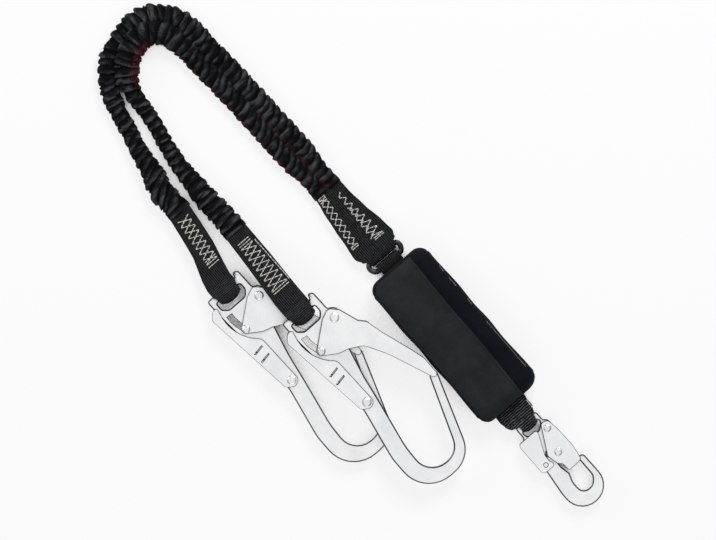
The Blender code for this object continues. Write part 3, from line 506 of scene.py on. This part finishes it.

for hook in ("hook_a", "hook_b", "snap"):
    body = "snap_hook" if hook == "snap" else hook
    moving = "" if hook == "snap" else "_set"
    for part, rider, look, slot, width in (
            ("body", body, BODY_PLATE, "plated_steel", 0.55),
            ("gate", f"{body}_gate{moving}", SHEET_PLATE, "gate_steel", 0.6),
            ("lever", f"{body}_lever{moving}", SHEET_PLATE, "gate_steel", 0.45)):
        steel = welded_copy(f"{hook}_{part}", f"{hook}_{part}_plated")
        only(steel)
        bpy.ops.object.mode_set(mode="EDIT")
        bpy.ops.mesh.select_all(action="SELECT")
        bpy.ops.mesh.dissolve_limited(angle_limit=math.radians(0.5))
        bpy.ops.object.mode_set(mode="OBJECT")
        rounded_edges(steel, width, 1, 50, clamped=False)
        dressed(steel, look, rider, slot, f"{hook}_{part}")
        # The slanted faces of the broken edges get the dark finish: painted shade.
        steel.data.materials.append(PAINTED_EDGE_SHADE)
        for face in steel.data.polygons:
            if SLANTED[0] < abs(face.normal.z) < SLANTED[1]:
                face.material_index = 1


# ---- the two gathered legs ----

def route_rows(route, start, end):
    """The leg's smooth line: fine rows of x, y and width, their distances along it, and the marks
    of its gathers' crests and valleys."""
    knots = np.array([start, (start[0] - start[2], start[1], start[2]), *route,
                      (end[0] - end[2], end[1], end[2]), end], dtype=float)
    steps = np.linalg.norm(np.diff(knots[:, :2], axis=0), axis=1)
    slopes = np.diff(knots, axis=0) / steps[:, None]
    shares = (steps[1:] / (steps[:-1] + steps[1:]))[:, None]
    inner = slopes[:-1] * shares + slopes[1:] * (1 - shares)
    tangents = np.vstack([slopes[:1], inner, slopes[-1:]])
    fine = []
    for i, step in enumerate(steps):
        for t in np.linspace(0, 1, 24, endpoint=False):
            ahead = t * t * (3 - 2 * t)
            fine.append((1 - ahead) * knots[i] + ahead * knots[i + 1]
                        + t * (1 - t) ** 2 * step * tangents[i]
                        + t * t * (t - 1) * step * tangents[i + 1])
    fine = np.array(fine + [knots[-1]])
    along = np.cumsum(np.linalg.norm(np.diff(fine[:, :2], axis=0, prepend=fine[:1, :2]), axis=1))
    gathers = round((along[-1] - 2 * LEG_END) / LEG_PITCH)
    marks = np.array([0, *np.linspace(LEG_END, along[-1] - LEG_END, 2 * gathers + 1), along[-1]])
    return fine, along, marks


def leg_levels(rows, start_level, end_level, under):
    """The heights of a leg's middle, on the ground or over the leg under it."""
    length = rows[-1, 3]
    levels = LEG_FLATNESS * rows[:, 2] / 2 + LEG_REST
    settle = [0, LEG_SETTLE, length - LEG_SETTLE, length]
    levels = np.maximum(levels, np.interp(rows[:, 3], settle, [start_level, 0, 0, end_level]))
    if under is not None:
        apart = np.linalg.norm(rows[:, None, :2] - under[None, :, :2], axis=2)
        reach = (rows[:, None, 2] + under[None, :, 2]) / 2 + LEG_REST
        rise = LEG_FLATNESS * reach * np.sqrt(np.clip(1 - (apart / reach) ** 2, 0, None))
        levels = np.maximum(levels, np.where(rise > 0, under[None, :, 4] + rise, 0).max(axis=1))
    for combine in (np.max, np.mean):
        padded = np.pad(levels, 3, mode="edge")
        levels = combine(np.lib.stride_tricks.sliding_window_view(padded, 7), axis=1)
    levels[0], levels[-1] = start_level, end_level
    return levels


def mottled(luck, places, turn, step, around):
    """Smooth random values from -1 to 1 over a tube, by distance along it and turn round it."""
    rows = int((places[-1] - places[0]) / step) + 3
    values = luck.uniform(-1, 1, (rows, around))
    u, v = (places - places[0]) / step, turn / (2 * math.pi) * around
    i, k = np.floor(u).astype(int), np.floor(v).astype(int)
    du, dv = u - i, v - k
    du, dv = (du * du * (3 - 2 * du))[:, None], (dv * dv * (3 - 2 * dv))[None, :]
    k, ahead = k % around, (k + 1) % around
    low = values[i][:, k] * (1 - dv) + values[i][:, ahead] * dv
    high = values[i + 1][:, k] * (1 - dv) + values[i + 1][:, ahead] * dv
    return low * (1 - du) + high * du


def gathered_leg(name, node, route, start, end, levels_at, seed, habit, marker, under=None):
    """One leg's sleeve: a flattened tube that swells out of each gather and nips in behind it, with
    each gather's slant, size and pitch a little unlike the next one's. The habit's rows are the
    distance, the gathers' slant and chevron, the fine wrinkles, the fullness and how far the leg
    leans against the other one there; the marker's are the distance, how strong the thread shows
    and how far round it starts."""
    fine, along, marks = route_rows(route, start, end)
    rows = np.column_stack([*(np.interp(marks, along, fine[:, k]) for k in range(3)), marks])
    rows = np.column_stack([rows, leg_levels(rows, *levels_at, under)])
    length = along[-1]
    stations = np.linspace(-LEG_OVER, length + LEG_OVER, int(length / LEG_STATION))
    x, y, width = (np.interp(stations, along, fine[:, k]) for k in range(3))
    x -= np.minimum(stations, 0) - np.maximum(stations - length, 0)
    z = np.interp(stations, rows[:, 3], rows[:, 4])
    z = np.convolve(np.pad(z, 5, mode="edge"), np.ones(11) / 11, mode="valid")
    slant, chevron, wrinkle, full, snug = (
        np.interp(stations, habit[:, 0], habit[:, k])[:, None] for k in range(1, 6))

    luck = np.random.RandomState(seed)
    edges = np.concatenate([[-LEG_OVER - 1], marks[1:-1:2], [length + LEG_OVER + 1]])
    edges[2:-2] += luck.uniform(-1.7, 1.7, len(edges) - 4)
    swell = luck.uniform(0.7, 1.15, len(edges))
    lean = luck.uniform(-0.25, 0.25, len(edges))

    heading = np.column_stack([np.gradient(x), np.gradient(y)])
    heading /= np.linalg.norm(heading, axis=1)[:, None]
    left = np.column_stack([-heading[:, 1], heading[:, 0]])
    turning = np.gradient(np.unwrap(np.arctan2(heading[:, 1], heading[:, 0])), stations)
    turning = np.convolve(np.pad(turning, 12, mode="edge"), np.ones(25) / 25, mode="valid")[:, None]
    turn = 2 * math.pi * np.arange(LEG_SIDES) / LEG_SIDES
    cos, sin = np.cos(turn)[None, :], np.sin(turn)[None, :]
    side = width[:, None] / 2 * cos
    reach = np.clip(np.minimum(stations, length - stations) / 9.0, 0, 1)[:, None]
    outer = np.clip(-cos * turning / 0.02, 0, 1)

    wander = (0.8 * mottled(luck, stations, turn, 9.0, 8)
              + 0.5 * mottled(luck, stations, turn, 3.5, 14))
    at = stations[:, None] - (slant * side + chevron * np.abs(side) - wander) * reach
    gather = np.clip(np.searchsorted(edges, at) - 1, 0, len(edges) - 2)
    at = at - lean[gather] * side * reach
    gather = np.clip(np.searchsorted(edges, at) - 1, 0, len(edges) - 2)
    phase = np.clip((at - edges[gather]) / (edges[gather + 1] - edges[gather]), 0, 1)
    crest = np.sin(math.pi * phase ** SWELL_SKEW) ** (0.55 + 0.75 * outer)
    folds = mottled(luck, stations, turn, 5.5, 9)
    streaks = mottled(luck, stations, turn, 1.6, 11) * wrinkle
    size = (0.83 + 0.05 * outer + (0.22 + 0.07 * outer) * crest * swell[gather]
            + 0.03 * folds + 0.045 * streaks)
    size = (1.06 + (size - 1.06) * reach) * full
    flat = LEG_FLATNESS * (0.66 + 0.34 * reach)
    across = np.sign(cos) * np.abs(cos) ** 0.88 * width[:, None] / 2 * size
    across = np.clip(across + snug * np.clip(np.sign(snug) * cos, 0, 1) * reach,
                     -LEG_REACH, LEG_REACH)
    up = np.sign(sin) * np.abs(sin) ** 0.84 * width[:, None] / 2 * size * flat
    lap = (2.6 + 1.6 * outer) * (phase - 0.45) * crest * reach
    px = x[:, None] + left[:, :1] * across + heading[:, :1] * lap
    py = y[:, None] + left[:, 1:] * across + heading[:, 1:] * lap
    pz = np.maximum(z[:, None] + up, 0.25)
    points = np.stack([px, py, pz], axis=2).reshape(-1, 3) * MM
    piece = skinned(name, points, len(stations), LEG_SIDES)
    mesh = piece.data

    # Painted shade and highlight for the crest attribute: dark in each gather's valley, light on
    # its crest, and darker on the tube's underside.
    shade = (np.sin(math.pi * phase ** SWELL_SKEW) ** 0.4 * np.clip(0.4 + 0.75 * phase, 0, 1)
             * np.clip(swell[gather], 0.8, 1.1))
    shade = shade * (1 + 0.3 * folds + 0.55 * streaks) * (0.6 + 0.4 * np.clip(sin + 0.7, 0, 1))
    mesh.attributes.new("crest", "FLOAT", "POINT").data.foreach_set(
        "value", np.clip(shade, 0, 1.3).astype(np.float32).ravel())
    strong, begins = (np.interp(stations, marker[:, 0], marker[:, k])[:, None] for k in (1, 2))
    inner = np.clip((cos - begins) / 0.2, 0, 1) * np.clip((sin + 0.45) / 0.3, 0, 1)
    mesh.attributes.new("marker", "FLOAT", "POINT").data.foreach_set(
        "value", (strong * inner).astype(np.float32).ravel())
    grid = mesh.uv_layers.new(name="cloth")
    corner = np.empty(len(mesh.loops), dtype=np.int32)
    mesh.loops.foreach_get("vertex_index", corner)
    # A flattened tube is about 2.55 widths round, and its gathers take up a quarter more length
    round_it = (corner % LEG_SIDES) * (width.mean() * 2.55 / LEG_SIDES) * MM
    lengthwise = stations[corner // LEG_SIDES] * 1.25 * MM
    grid.data.foreach_set("uv", np.column_stack([round_it, lengthwise]).astype(np.float32).ravel())
    bpy.ops.object.shade_smooth()
    dressed(piece, SLEEVE_CLOTH, "legs", "elastic_sleeve", node)
    return rows


def skinned(name, points, rings, sides):
    """A closed skin over rings of points, its two ends filled."""
    i, k = np.meshgrid(np.arange(rings - 1), np.arange(sides), indexing="ij")
    ahead = (k + 1) % sides
    faces = np.stack([i * sides + k, i * sides + ahead, (i + 1) * sides + ahead,
                      (i + 1) * sides + k], axis=2).reshape(-1, 4).tolist()
    faces.append(list(range(sides))[::-1])
    faces.append(list(range((rings - 1) * sides, rings * sides)))
    mesh = bpy.data.meshes.new(name)
    mesh.from_pydata(points.tolist(), [], faces)
    piece = bpy.data.objects.new(name, mesh)
    bpy.context.scene.collection.objects.link(piece)
    only(piece)
    bpy.ops.object.mode_set(mode="EDIT")
    bpy.ops.mesh.select_all(action="SELECT")
    bpy.ops.mesh.normals_make_consistent(inside=False)
    bpy.ops.object.mode_set(mode="OBJECT")
    return piece


rows_a = gathered_leg(
    "leg_a_gathered_sleeve", "leg_a_sleeve", ROUTE_A, LEG_A_START, LEG_A_FINISH,
    (RING_HEIGHT, LEG_A_END_HEIGHT), 11,
    np.array([(0, -0.3, 0.3, 0.6, 1.08, 0.6), (110, -0.45, 0.35, 0.7, 1.08, 1.5),
              (200, -0.35, 0.3, 0.8, 1.06, 1.6), (250, -0.15, 0.0, 0.9, 1.02, 1.5),
              (330, 0.0, 0.0, 1.0, 1.0, 1.0), (370, -0.2, 0.0, 1.0, 1.0, 0.0),
              (480, -0.75, 0.0, 0.7, 1.02, 0.0), (620, -0.35, 0.0, 0.6, 1.0, 0.0)]),
    np.array([(0, 1.0, 0.55), (100, 0.85, 0.6), (135, 0.0, 0.8), (900, 0.0, 0.8)]))
gathered_leg(
    "leg_b_gathered_sleeve", "leg_b_sleeve", ROUTE_B, LEG_B_START, LEG_B_FINISH,
    (RING_HEIGHT, LEG_B_END_HEIGHT), 23,
    np.array([(0, -0.5, 0.3, 0.6, 1.08, -0.6), (100, -0.55, 0.35, 0.7, 1.08, -1.4),
              (190, -0.3, 0.25, 0.8, 1.05, -1.6), (235, 0.05, 0.0, 0.8, 1.0, -1.4),
              (290, 0.0, 0.0, 1.0, 1.0, -1.0), (335, 0.1, 0.0, 1.2, 1.0, 0.0),
              (430, 0.1, 0.0, 1.2, 1.03, 0.0), (620, 0.05, 0.0, 0.8, 1.0, 0.0)]),
    np.array([(0, 1.0, 0.62), (190, 0.9, 0.68), (225, 0.3, 0.8), (250, 0.4, 0.6),
              (268, 1.0, 0.3), (312, 1.0, 0.25), (330, 0.0, 0.6), (900, 0.0, 0.8)]),
    rows_a)


# ---- sewn webbing ----

HOOK_EYES = {"leg_a": (-195, -153.2), "leg_b": (-125, -107.7)}   # x of the bar, y of the middle
HOOK_WEB_HALF = 15.5                  # half of the webbing's width there
LOW_CORNER, HIGH_CORNER = 5.7, 4.2    # how far each corner of a fold hangs back
SNAP_EYE, SNAP_WEB_HALF = (123, -2.1), 9.8


def cut_across(piece, direction, places):
    """Adds rows of points to a piece along planes across X or Y."""
    only(piece)
    bpy.ops.object.mode_set(mode="EDIT")
    for at in places:
        bpy.ops.mesh.select_all(action="SELECT")
        bpy.ops.mesh.bisect(plane_co=tuple(at * MM * d for d in direction), plane_no=direction)
    bpy.ops.object.mode_set(mode="OBJECT")


def eased(piece, move):
    """Moves every point of a piece by what a function says for its place, in millimetres."""
    for point in piece.data.vertices:
        x, y, z = point.co / MM
        point.co += Vector(move(x, y, z)) * MM


def ramp(value, low, high):
    """A smooth rise from 0 at the low value to 1 at the high one."""
    t = min(1.0, max(0.0, (value - low) / (high - low)))
    return t * t * (3 - 2 * t)


def slumped(leg):
    """How a strap's fold sags in its hook's eye: its corners hang back and its edges draw in."""
    bar_x, middle_y = HOOK_EYES[leg]

    def move(x, y, z):
        past, off = x - bar_x, (y - middle_y) / HOOK_WEB_HALF
        corner = LOW_CORNER if off < 0 else HIGH_CORNER
        back = -corner * min(1.0, abs(off)) ** 2.6 * ramp(past, -3, 7)
        draw = -0.14 * HOOK_WEB_HALF * off * ramp(past, -7, 8)
        sag = 0.35 * math.sin(x / 6.5 + 1.3 * off) * (1 - ramp(past, -22, -12))
        return back, draw, sag
    return move


def rippled(x, y, z):
    """The slight unevenness of sewn webbing."""
    return 0, 0.3 * math.sin(x / 9.0) + 0.2 * math.sin(x / 4.1), 0.3 * math.sin(x / 7.5 + y / 6)


def gathered_at_ring(side):
    """A ring loop's sewn webbing, its outer corner drawn in and rounded over the ring."""
    def move(x, y, z):
        _, ripple, lift = rippled(x, y, z)
        out = max(0.0, side * y - 8)
        past = ramp(x, -132, -120)
        narrow = (0.2 * math.exp(-((x + 121.5) / 4.2) ** 2)
                  - 0.24 * math.exp(-((x + 115.8) / 1.9) ** 2))
        meet = 0.4 * min(1.0, max(0.0, 1 - side * y / 6)) * ramp(-x, 112, 118)
        return 0, ripple * (1 - past) - side * (narrow * out + meet), lift * (1 - past) + 0.1 * side
    return move


def drawn_in(x, y, z):
    """The webbing bunched for the snap hook's eye, its corners hanging back."""
    past, off = x - SNAP_EYE[0], (y - SNAP_EYE[1]) / SNAP_WEB_HALF
    back = -2.6 * min(1.0, abs(off)) ** 3 * ramp(past, 0, 7)
    return back, 0.35 * math.sin(x / 1.9), 0.35 * math.sin(x / 1.6 + y / 5) * (1 - ramp(past, 1, 5))


STRAPS = [
    ("leg_a_ring_loop", "legs", gathered_at_ring(1)),
    ("leg_b_ring_loop", "legs", gathered_at_ring(-1)),
    ("leg_a_hook_loop", "legs", slumped("leg_a")),
    ("leg_b_hook_loop", "legs", slumped("leg_b")),
    ("pack_ring_loop", "pack", rippled),
    ("pack_snap_loop", "pack", drawn_in),
]
straps = {}
for node, body, move in STRAPS:
    strap = welded_copy(node, node.replace("_loop", "_webbing"))
    low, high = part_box(node)
    low, high = [c / MM for c in low], [c / MM for c in high]
    step = 1.6 if node == "pack_snap_loop" else 5.0
    cut_across(strap, (0, 1, 0), np.linspace(low[1], high[1], 10)[1:-1])
    cut_across(strap, (1, 0, 0), np.arange(low[0] + step, high[0] - 9, step))
    if "ring_loop" in node and body == "legs":
        cut_across(strap, (1, 0, 0), np.arange(-131.5, -111, 1.3))
    elif "hook_loop" in node:
        cut_across(strap, (1, 0, 0), np.arange(high[0] - 16.5, high[0] - 1, 1.5))
    eased(strap, move)
    rounded_edges(strap, 0.5, 2, 50)
    look = BUNCHED_WEB if node == "pack_snap_loop" else WEBBING
    straps[node] = dressed(strap, look, body, "webbing", node)

for leg, (_, middle) in HOOK_EYES.items():
    cuff = welded_copy(f"{leg}_wear_sleeve", f"{leg}_wear_cuff")
    cut_across(cuff, (0, 1, 0),
               np.linspace(middle - HOOK_WEB_HALF, middle + HOOK_WEB_HALF, 12)[1:-1])
    eased(cuff, slumped(leg))
    rounded_edges(cuff, 0.22, 2, 50)
    dressed(cuff, WEAR_CLOTH, "legs", "wear_sleeve", f"{leg}_wear_sleeve")

folds = welded_copy("absorber_webbing", "folded_tear_webbing")
rounded_edges(folds, 0.4, 2, 50)
dressed(folds, TEAR_WEB, "pack", "tear_webbing", "absorber_webbing")


# ---- stitching ----

DOWN = Vector((0, 0, -1))
RAY_FROM = 0.2            # metres over the ground, where the rays that find a face start
STITCH_LIFT = 0.12        # a thread's middle over the cloth

bpy.ops.mesh.primitive_cylinder_add(vertices=8, radius=0.42 * MM, depth=1.0 * MM,
                                    end_fill_type="NGON")
stitch_pattern = bpy.context.object
stitch_pattern.name = "stitch_pattern"
bpy.ops.object.mode_set(mode="EDIT")
bpy.ops.mesh.select_mode(type="FACE")
bpy.ops.mesh.select_all(action="DESELECT")
bpy.ops.object.mode_set(mode="OBJECT")
for face in stitch_pattern.data.polygons:
    face.select = abs(face.normal.z) > 0.9
bpy.ops.object.mode_set(mode="EDIT")
bpy.ops.mesh.inset(thickness=0.16 * MM, depth=0.0)
bpy.ops.object.mode_set(mode="OBJECT")
for point in stitch_pattern.data.vertices:
    if math.hypot(point.co.x, point.co.y) > 0.4 * MM:
        point.co.z *= 0.86
bpy.ops.object.shade_smooth()


def skin_of(piece):
    """What a ray meets on a finished piece."""
    mesh = piece.data
    return BVHTree.FromPolygons([piece.matrix_world @ v.co for v in mesh.vertices],
                                [tuple(p.vertices) for p in mesh.polygons])


def sewn(name, on, runs, look, body, above=True, length=4.2, thickness=1.3):
    """Stitches along each run of points over a piece's upper or lower face: the length of one in
    millimetres, and its thickness as a multiple of the pattern's."""
    skin = skin_of(on)
    start, down = (RAY_FROM, DOWN) if above else (-RAY_FROM, -DOWN)

    def on_skin(x, y):
        hit = skin.ray_cast(Vector((x * MM, y * MM, start)), down)[0]
        return None if hit is None else hit - down * STITCH_LIFT * MM

    laid = []
    for run in runs:
        for (x0, y0), (x1, y1) in zip(run, run[1:]):
            span = math.hypot(x1 - x0, y1 - y0)
            count = max(1, round(span / length))
            for n in range(count):
                a, b = (n + 0.06) / count, (n + 0.94) / count
                first = on_skin(x0 + (x1 - x0) * a, y0 + (y1 - y0) * a)
                last = on_skin(x0 + (x1 - x0) * b, y0 + (y1 - y0) * b)
                if first is None or last is None or (last - first).length < 0.3 * MM:
                    continue
                one = stitch_pattern.copy()
                one.data = stitch_pattern.data.copy()
                bpy.context.scene.collection.objects.link(one)
                aim = (last - first).to_track_quat("Z", "Y").to_matrix().to_4x4()
                size = Matrix.Diagonal((thickness, thickness, (last - first).length / MM, 1))
                one.matrix_world = Matrix.Translation((first + last) / 2) @ aim @ size
                laid.append(one)
    bpy.ops.object.select_all(action="DESELECT")
    for one in laid:
        one.select_set(True)
    bpy.context.view_layer.objects.active = laid[0]
    bpy.ops.object.transform_apply(location=True, rotation=True, scale=True)
    bpy.ops.object.join()
    row = bpy.context.object
    row.name = name
    return dressed(row, look, body, None)


def zigzag(top_left, top_right, low_left, low_right, pitch, shift=0):
    """A zigzag between two lines, each given by its ends. A shift of 1 starts it on the lower."""
    width = top_right[0] - top_left[0]
    count = max(2, round(width / pitch * 2))
    run = []
    for n in range(count + 1):
        t = n / count
        start, end = (top_left, top_right) if (n + shift) % 2 == 0 else (low_left, low_right)
        run.append((start[0] + (end[0] - start[0]) * t, start[1] + (end[1] - start[1]) * t))
    return run


def bars(points, ends):
    """Short bars across a row, at each x, between two lines given by two ends each."""
    (top_a, top_b), (low_a, low_b) = ends
    out = []
    for x in points:
        pair = []
        for a, b in ((top_a, top_b), (low_a, low_b)):
            t = (x - a[0]) / (b[0] - a[0])
            pair.append((x, a[1] + (b[1] - a[1]) * t))
        out.append(pair)
    return out


# Each row's upper and lower line, by their two ends
ring_a = (((-195, 8.6), (-133, 15.8)), ((-195, 3.4), (-133, 2.8)))
ring_a_lower = (((-177, 6.5), (-135, 8.5)), ((-177, 2.6), (-135, -0.2)))
ring_b = (((-203, -6.2), (-140, -13.4)), ((-203, -15.6), (-140, -22.6)))
tail_a = (((-284, -129.6), (-229, -136.0)), ((-284, -144.5), (-229, -151.0)))
tail_b = (((-217, -96.4), (-162, -95.6)), ((-217, -112.6), (-162, -116.8)))
RING_PITCH_A, RING_PITCH_B, TAIL_PITCH = 8.6, 15.5, 14.5


def crossed(row, pitch):
    """Two zigzags that cross all along a row."""
    return [zigzag(*row[0], *row[1], pitch), zigzag(*row[0], *row[1], pitch, 1)]


LEG_ROWS = [
    ("leg_a_ring", "leg_a_ring_loop",
     [zigzag(*ring_a[0], *ring_a[1], RING_PITCH_A),
      zigzag(*ring_a_lower[0], *ring_a_lower[1], RING_PITCH_A, 1),
      *bars((-133.5, -131.5), ring_a)]),
    ("leg_b_ring", "leg_b_ring_loop",
     [*crossed(ring_b, RING_PITCH_B), *bars((-203.5, -201, -198.5, -141.5, -139), ring_b)]),
    ("leg_a_tail", "leg_a_hook_loop",
     [*crossed(tail_a, TAIL_PITCH), *bars((-225.5, -229, -232.5), tail_a)]),
    ("leg_b_tail", "leg_b_hook_loop",
     [*crossed(tail_b, TAIL_PITCH), [(-217, -93.6), (-160, -93.0)],
      *bars((-223, -220, -217, -161, -158), tail_b)]),
]
for side, above in (("top", True), ("back", False)):
    for row, strap, runs in LEG_ROWS:
        sewn(f"{row}_stitching_{side}", straps[strap], runs, WHITE_THREAD, "legs", above)

sewn("pack_snap_stitching", straps["pack_snap_loop"],
     [[(103.5, 13.0), (114.5, 12.4)], [(98.5, -25.4), (109.5, -24.6)]], WHITE_THREAD, "pack")


# ---- the absorber pack ----

PACK = dict(length=194.0, width=77.5, height=36.0, end_height=15.0, crown=1.5, run=14.5,
            ring_end=(-25.0, 25.5), snap_end=(-28.0, 23.0))
PACK_HALF = PACK["length"] / 2
PACK_SEAM = 86.5                                # from the pack's middle to each end's seam
FLAP_FROM, FLAP_LENGTH, FLAP_LOW = -93, 188, -35.6
FLAP_WALL = 1.3
MOUTH_HEIGHT = 9.6
RING_MOUTH, SNAP_MOUTH = (-1.0, 28.0), (-5.0, 40.0)    # the middle and width of each end's slot
MOUTH_DEPTHS = (0.4, 1.5, 5.0, 12.0, 20.0)      # of the rings that line it
MOUTH_LIP, MOUTH_IN = 0.35, 0.05                # how far out and in the ring round each slot lies


def pack_ring(x, turn):
    """The pack's outline across it at x, as rows of y and z."""
    wide = PACK["width"] / 2
    past = max(0.0, abs(x) - PACK_HALF + PACK["run"]) / PACK["run"]
    narrow = 1 - math.sqrt(max(0.0, 1 - past * past))
    low_end, high_end = PACK["ring_end"] if x < 0 else PACK["snap_end"]
    low, high = -wide + narrow * (low_end + wide), wide + narrow * (high_end - wide)
    tall = PACK["height"] - PACK["crown"] * (1 - math.cos(math.pi * x / PACK["length"]))
    tall += narrow * (PACK["end_height"] - tall)
    cos, sin = np.cos(turn), np.sin(turn)
    y = (low + high) / 2 + (high - low) / 2 * np.sign(cos) * np.abs(cos) ** 0.5
    z = tall / 2 + (tall / 2 + 1.0) * np.sign(sin) * np.abs(sin) ** 0.62
    return y, np.clip(z, 0.0, tall)


def mouth_ring(middle, width, turn):
    """A slot's rounded outline, for the webbing that goes in."""
    cos, sin = np.cos(turn), np.sin(turn)
    y = middle + (width / 2 + 0.8) * np.sign(cos) * np.abs(cos) ** 0.25
    z = RING_HEIGHT + MOUTH_HEIGHT / 2 * np.sign(sin) * np.abs(sin) ** 0.35
    return y, z


def pack_body():
    """The filled cloth pack: one skin that turns in at each end and lines the slot there."""
    sides = 120
    turn = 2 * math.pi * (np.arange(sides) + 0.5) / sides
    even = np.linspace(0, 1, 61)
    ends = [1 - math.cos(math.radians(a)) for a in np.linspace(0, 90, 19)]
    runs = [PACK["run"] * e for e in ends]
    xs = ([-PACK_HALF + r for r in runs]
          + list((PACK_HALF - PACK["run"]) * (2 * even[1:-1] - 1))
          + [PACK_HALF - r for r in reversed(runs)])
    outer = [(x, *pack_ring(x, turn)) for x in xs]

    def lip(mouth, edge, x):
        """The ring at x between a slot's outline and the end's edge round it."""
        (y_in, z_in), (_, y_end, z_end) = mouth, edge
        return x, y_in + MOUTH_LIP * (y_end - y_in), z_in + MOUTH_LIP * (z_end - z_in)

    mouth = mouth_ring(*RING_MOUTH, turn)
    rings = [(-PACK_HALF + depth, *mouth) for depth in reversed(MOUTH_DEPTHS)]
    rings.append(lip(mouth, outer[0], MOUTH_IN - PACK_HALF))
    for x, y, z in outer:
        seam = 0.55 * math.exp(-((abs(x) - PACK_SEAM) / 0.9) ** 2)
        puff = 0.25 * math.exp(-((abs(x) - 83.0) / 2.2) ** 2)
        middle_y, middle_z = y.mean(), z.mean()
        off_y, off_z = y - middle_y, z - middle_z
        far = np.hypot(off_y, off_z)
        shrink = 1 - (seam - puff) / np.maximum(far, 1)
        rings.append((x, middle_y + off_y * shrink, middle_z + off_z * shrink))
    mouth = mouth_ring(*SNAP_MOUTH, turn)
    rings.append(lip(mouth, outer[-1], PACK_HALF - MOUTH_IN))
    rings += [(PACK_HALF - depth, *mouth) for depth in MOUTH_DEPTHS]

    points = np.array([np.column_stack([np.full(sides, x), y, z]) for x, y, z in rings])
    flat = points.reshape(-1, 3)
    # Low soft waves in the filled cloth
    x, y = flat[:, 0], flat[:, 1]
    wave = (0.35 * np.sin(x / 17 + 0.6 * np.sin(y / 11)) + 0.3 * np.sin(y / 8.5 + x / 41 + 1.3)
            + 0.22 * np.sin(x / 7.3 - y / 9.1))
    lift = np.clip((flat[:, 2] - 24) / 8, 0, 1)
    flat[:, 2] += wave * lift
    flat[:, 1] += 0.5 * np.sin(x / 9.5 + 0.7 * np.sin(x / 23)) * np.clip(
        (np.abs(y) - 30) / 6, 0, 1) * np.sign(y)
    # A groove in the cover just past the flap's edge
    groove = 1.5 * np.exp(-((y - flap_edge(x) - 2.4) / 2.0) ** 2)
    flat[:, 2] -= groove * (flat[:, 2] > 20) * (np.abs(x) < 84)
    piece = skinned("absorber_pack", flat * MM, len(rings), sides)
    bpy.ops.object.shade_smooth_by_angle(angle=math.radians(50))
    return piece


def flap_edge(x):
    """Where the flap's folded edge runs along the pack."""
    return 16.4 - 0.019 * x + 0.4 * np.sin(x / 21)


def laid_flap(on):
    """The flap that closes over the pack: a sheet laid on its top, its folded edge along it."""
    bpy.ops.mesh.primitive_grid_add(x_subdivisions=96, y_subdivisions=30, size=1,
                                    location=(0, 0, 0.1))
    flap = bpy.context.object
    flap.name = "pack_flap"
    skin = skin_of(on)
    for point in flap.data.vertices:
        across, along = point.co.y + 0.5, point.co.x + 0.5
        x = FLAP_FROM + FLAP_LENGTH * along
        corner = max(0.0, abs(x - 1) - 82) / 12
        low = FLAP_LOW + 9 * corner ** 2.2
        top = float(flap_edge(x))
        y = low + (top - low) * across
        hit = skin.ray_cast(Vector((x * MM, y * MM, RAY_FROM)), DOWN)[0]
        point.co = (x * MM, y * MM, (hit.z if hit else 0.02) + 0.05 * MM - flap.location.z)
    bpy.ops.object.transform_apply(location=True, rotation=False, scale=False)
    wall = flap.modifiers.new("cloth", "SOLIDIFY")
    wall.thickness = FLAP_WALL * MM
    wall.offset = 1.0
    bpy.ops.object.modifier_apply(modifier="cloth")
    rounded_edges(flap, 0.35, 2, 60)
    return flap


pack = pack_body()
flap = laid_flap(pack)
dressed(pack, PACK_CLOTH, "pack", "cover", "pack_cover")
dressed(flap, FLAP_CLOTH, "pack", "cover")

sewn("pack_flap_stitching", flap,
     [[(x, float(flap_edge(x)) - 2.6) for x in range(-90, 92, 6)]], BLACK_THREAD, "pack",
     length=3.0, thickness=0.8)
sewn("pack_hem_stitching", pack,
     [[(x, 35.6) for x in range(12, 78, 4)], [(-66, 36.2), (-58, 36.0)], [(-50, 35.8), (-38, 36.0)],
      [(-20, 36.0), (-12, 35.6)]], GREY_THREAD, "pack", length=2.6, thickness=0.7)

bpy.data.objects.remove(stitch_pattern)

low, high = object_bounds()
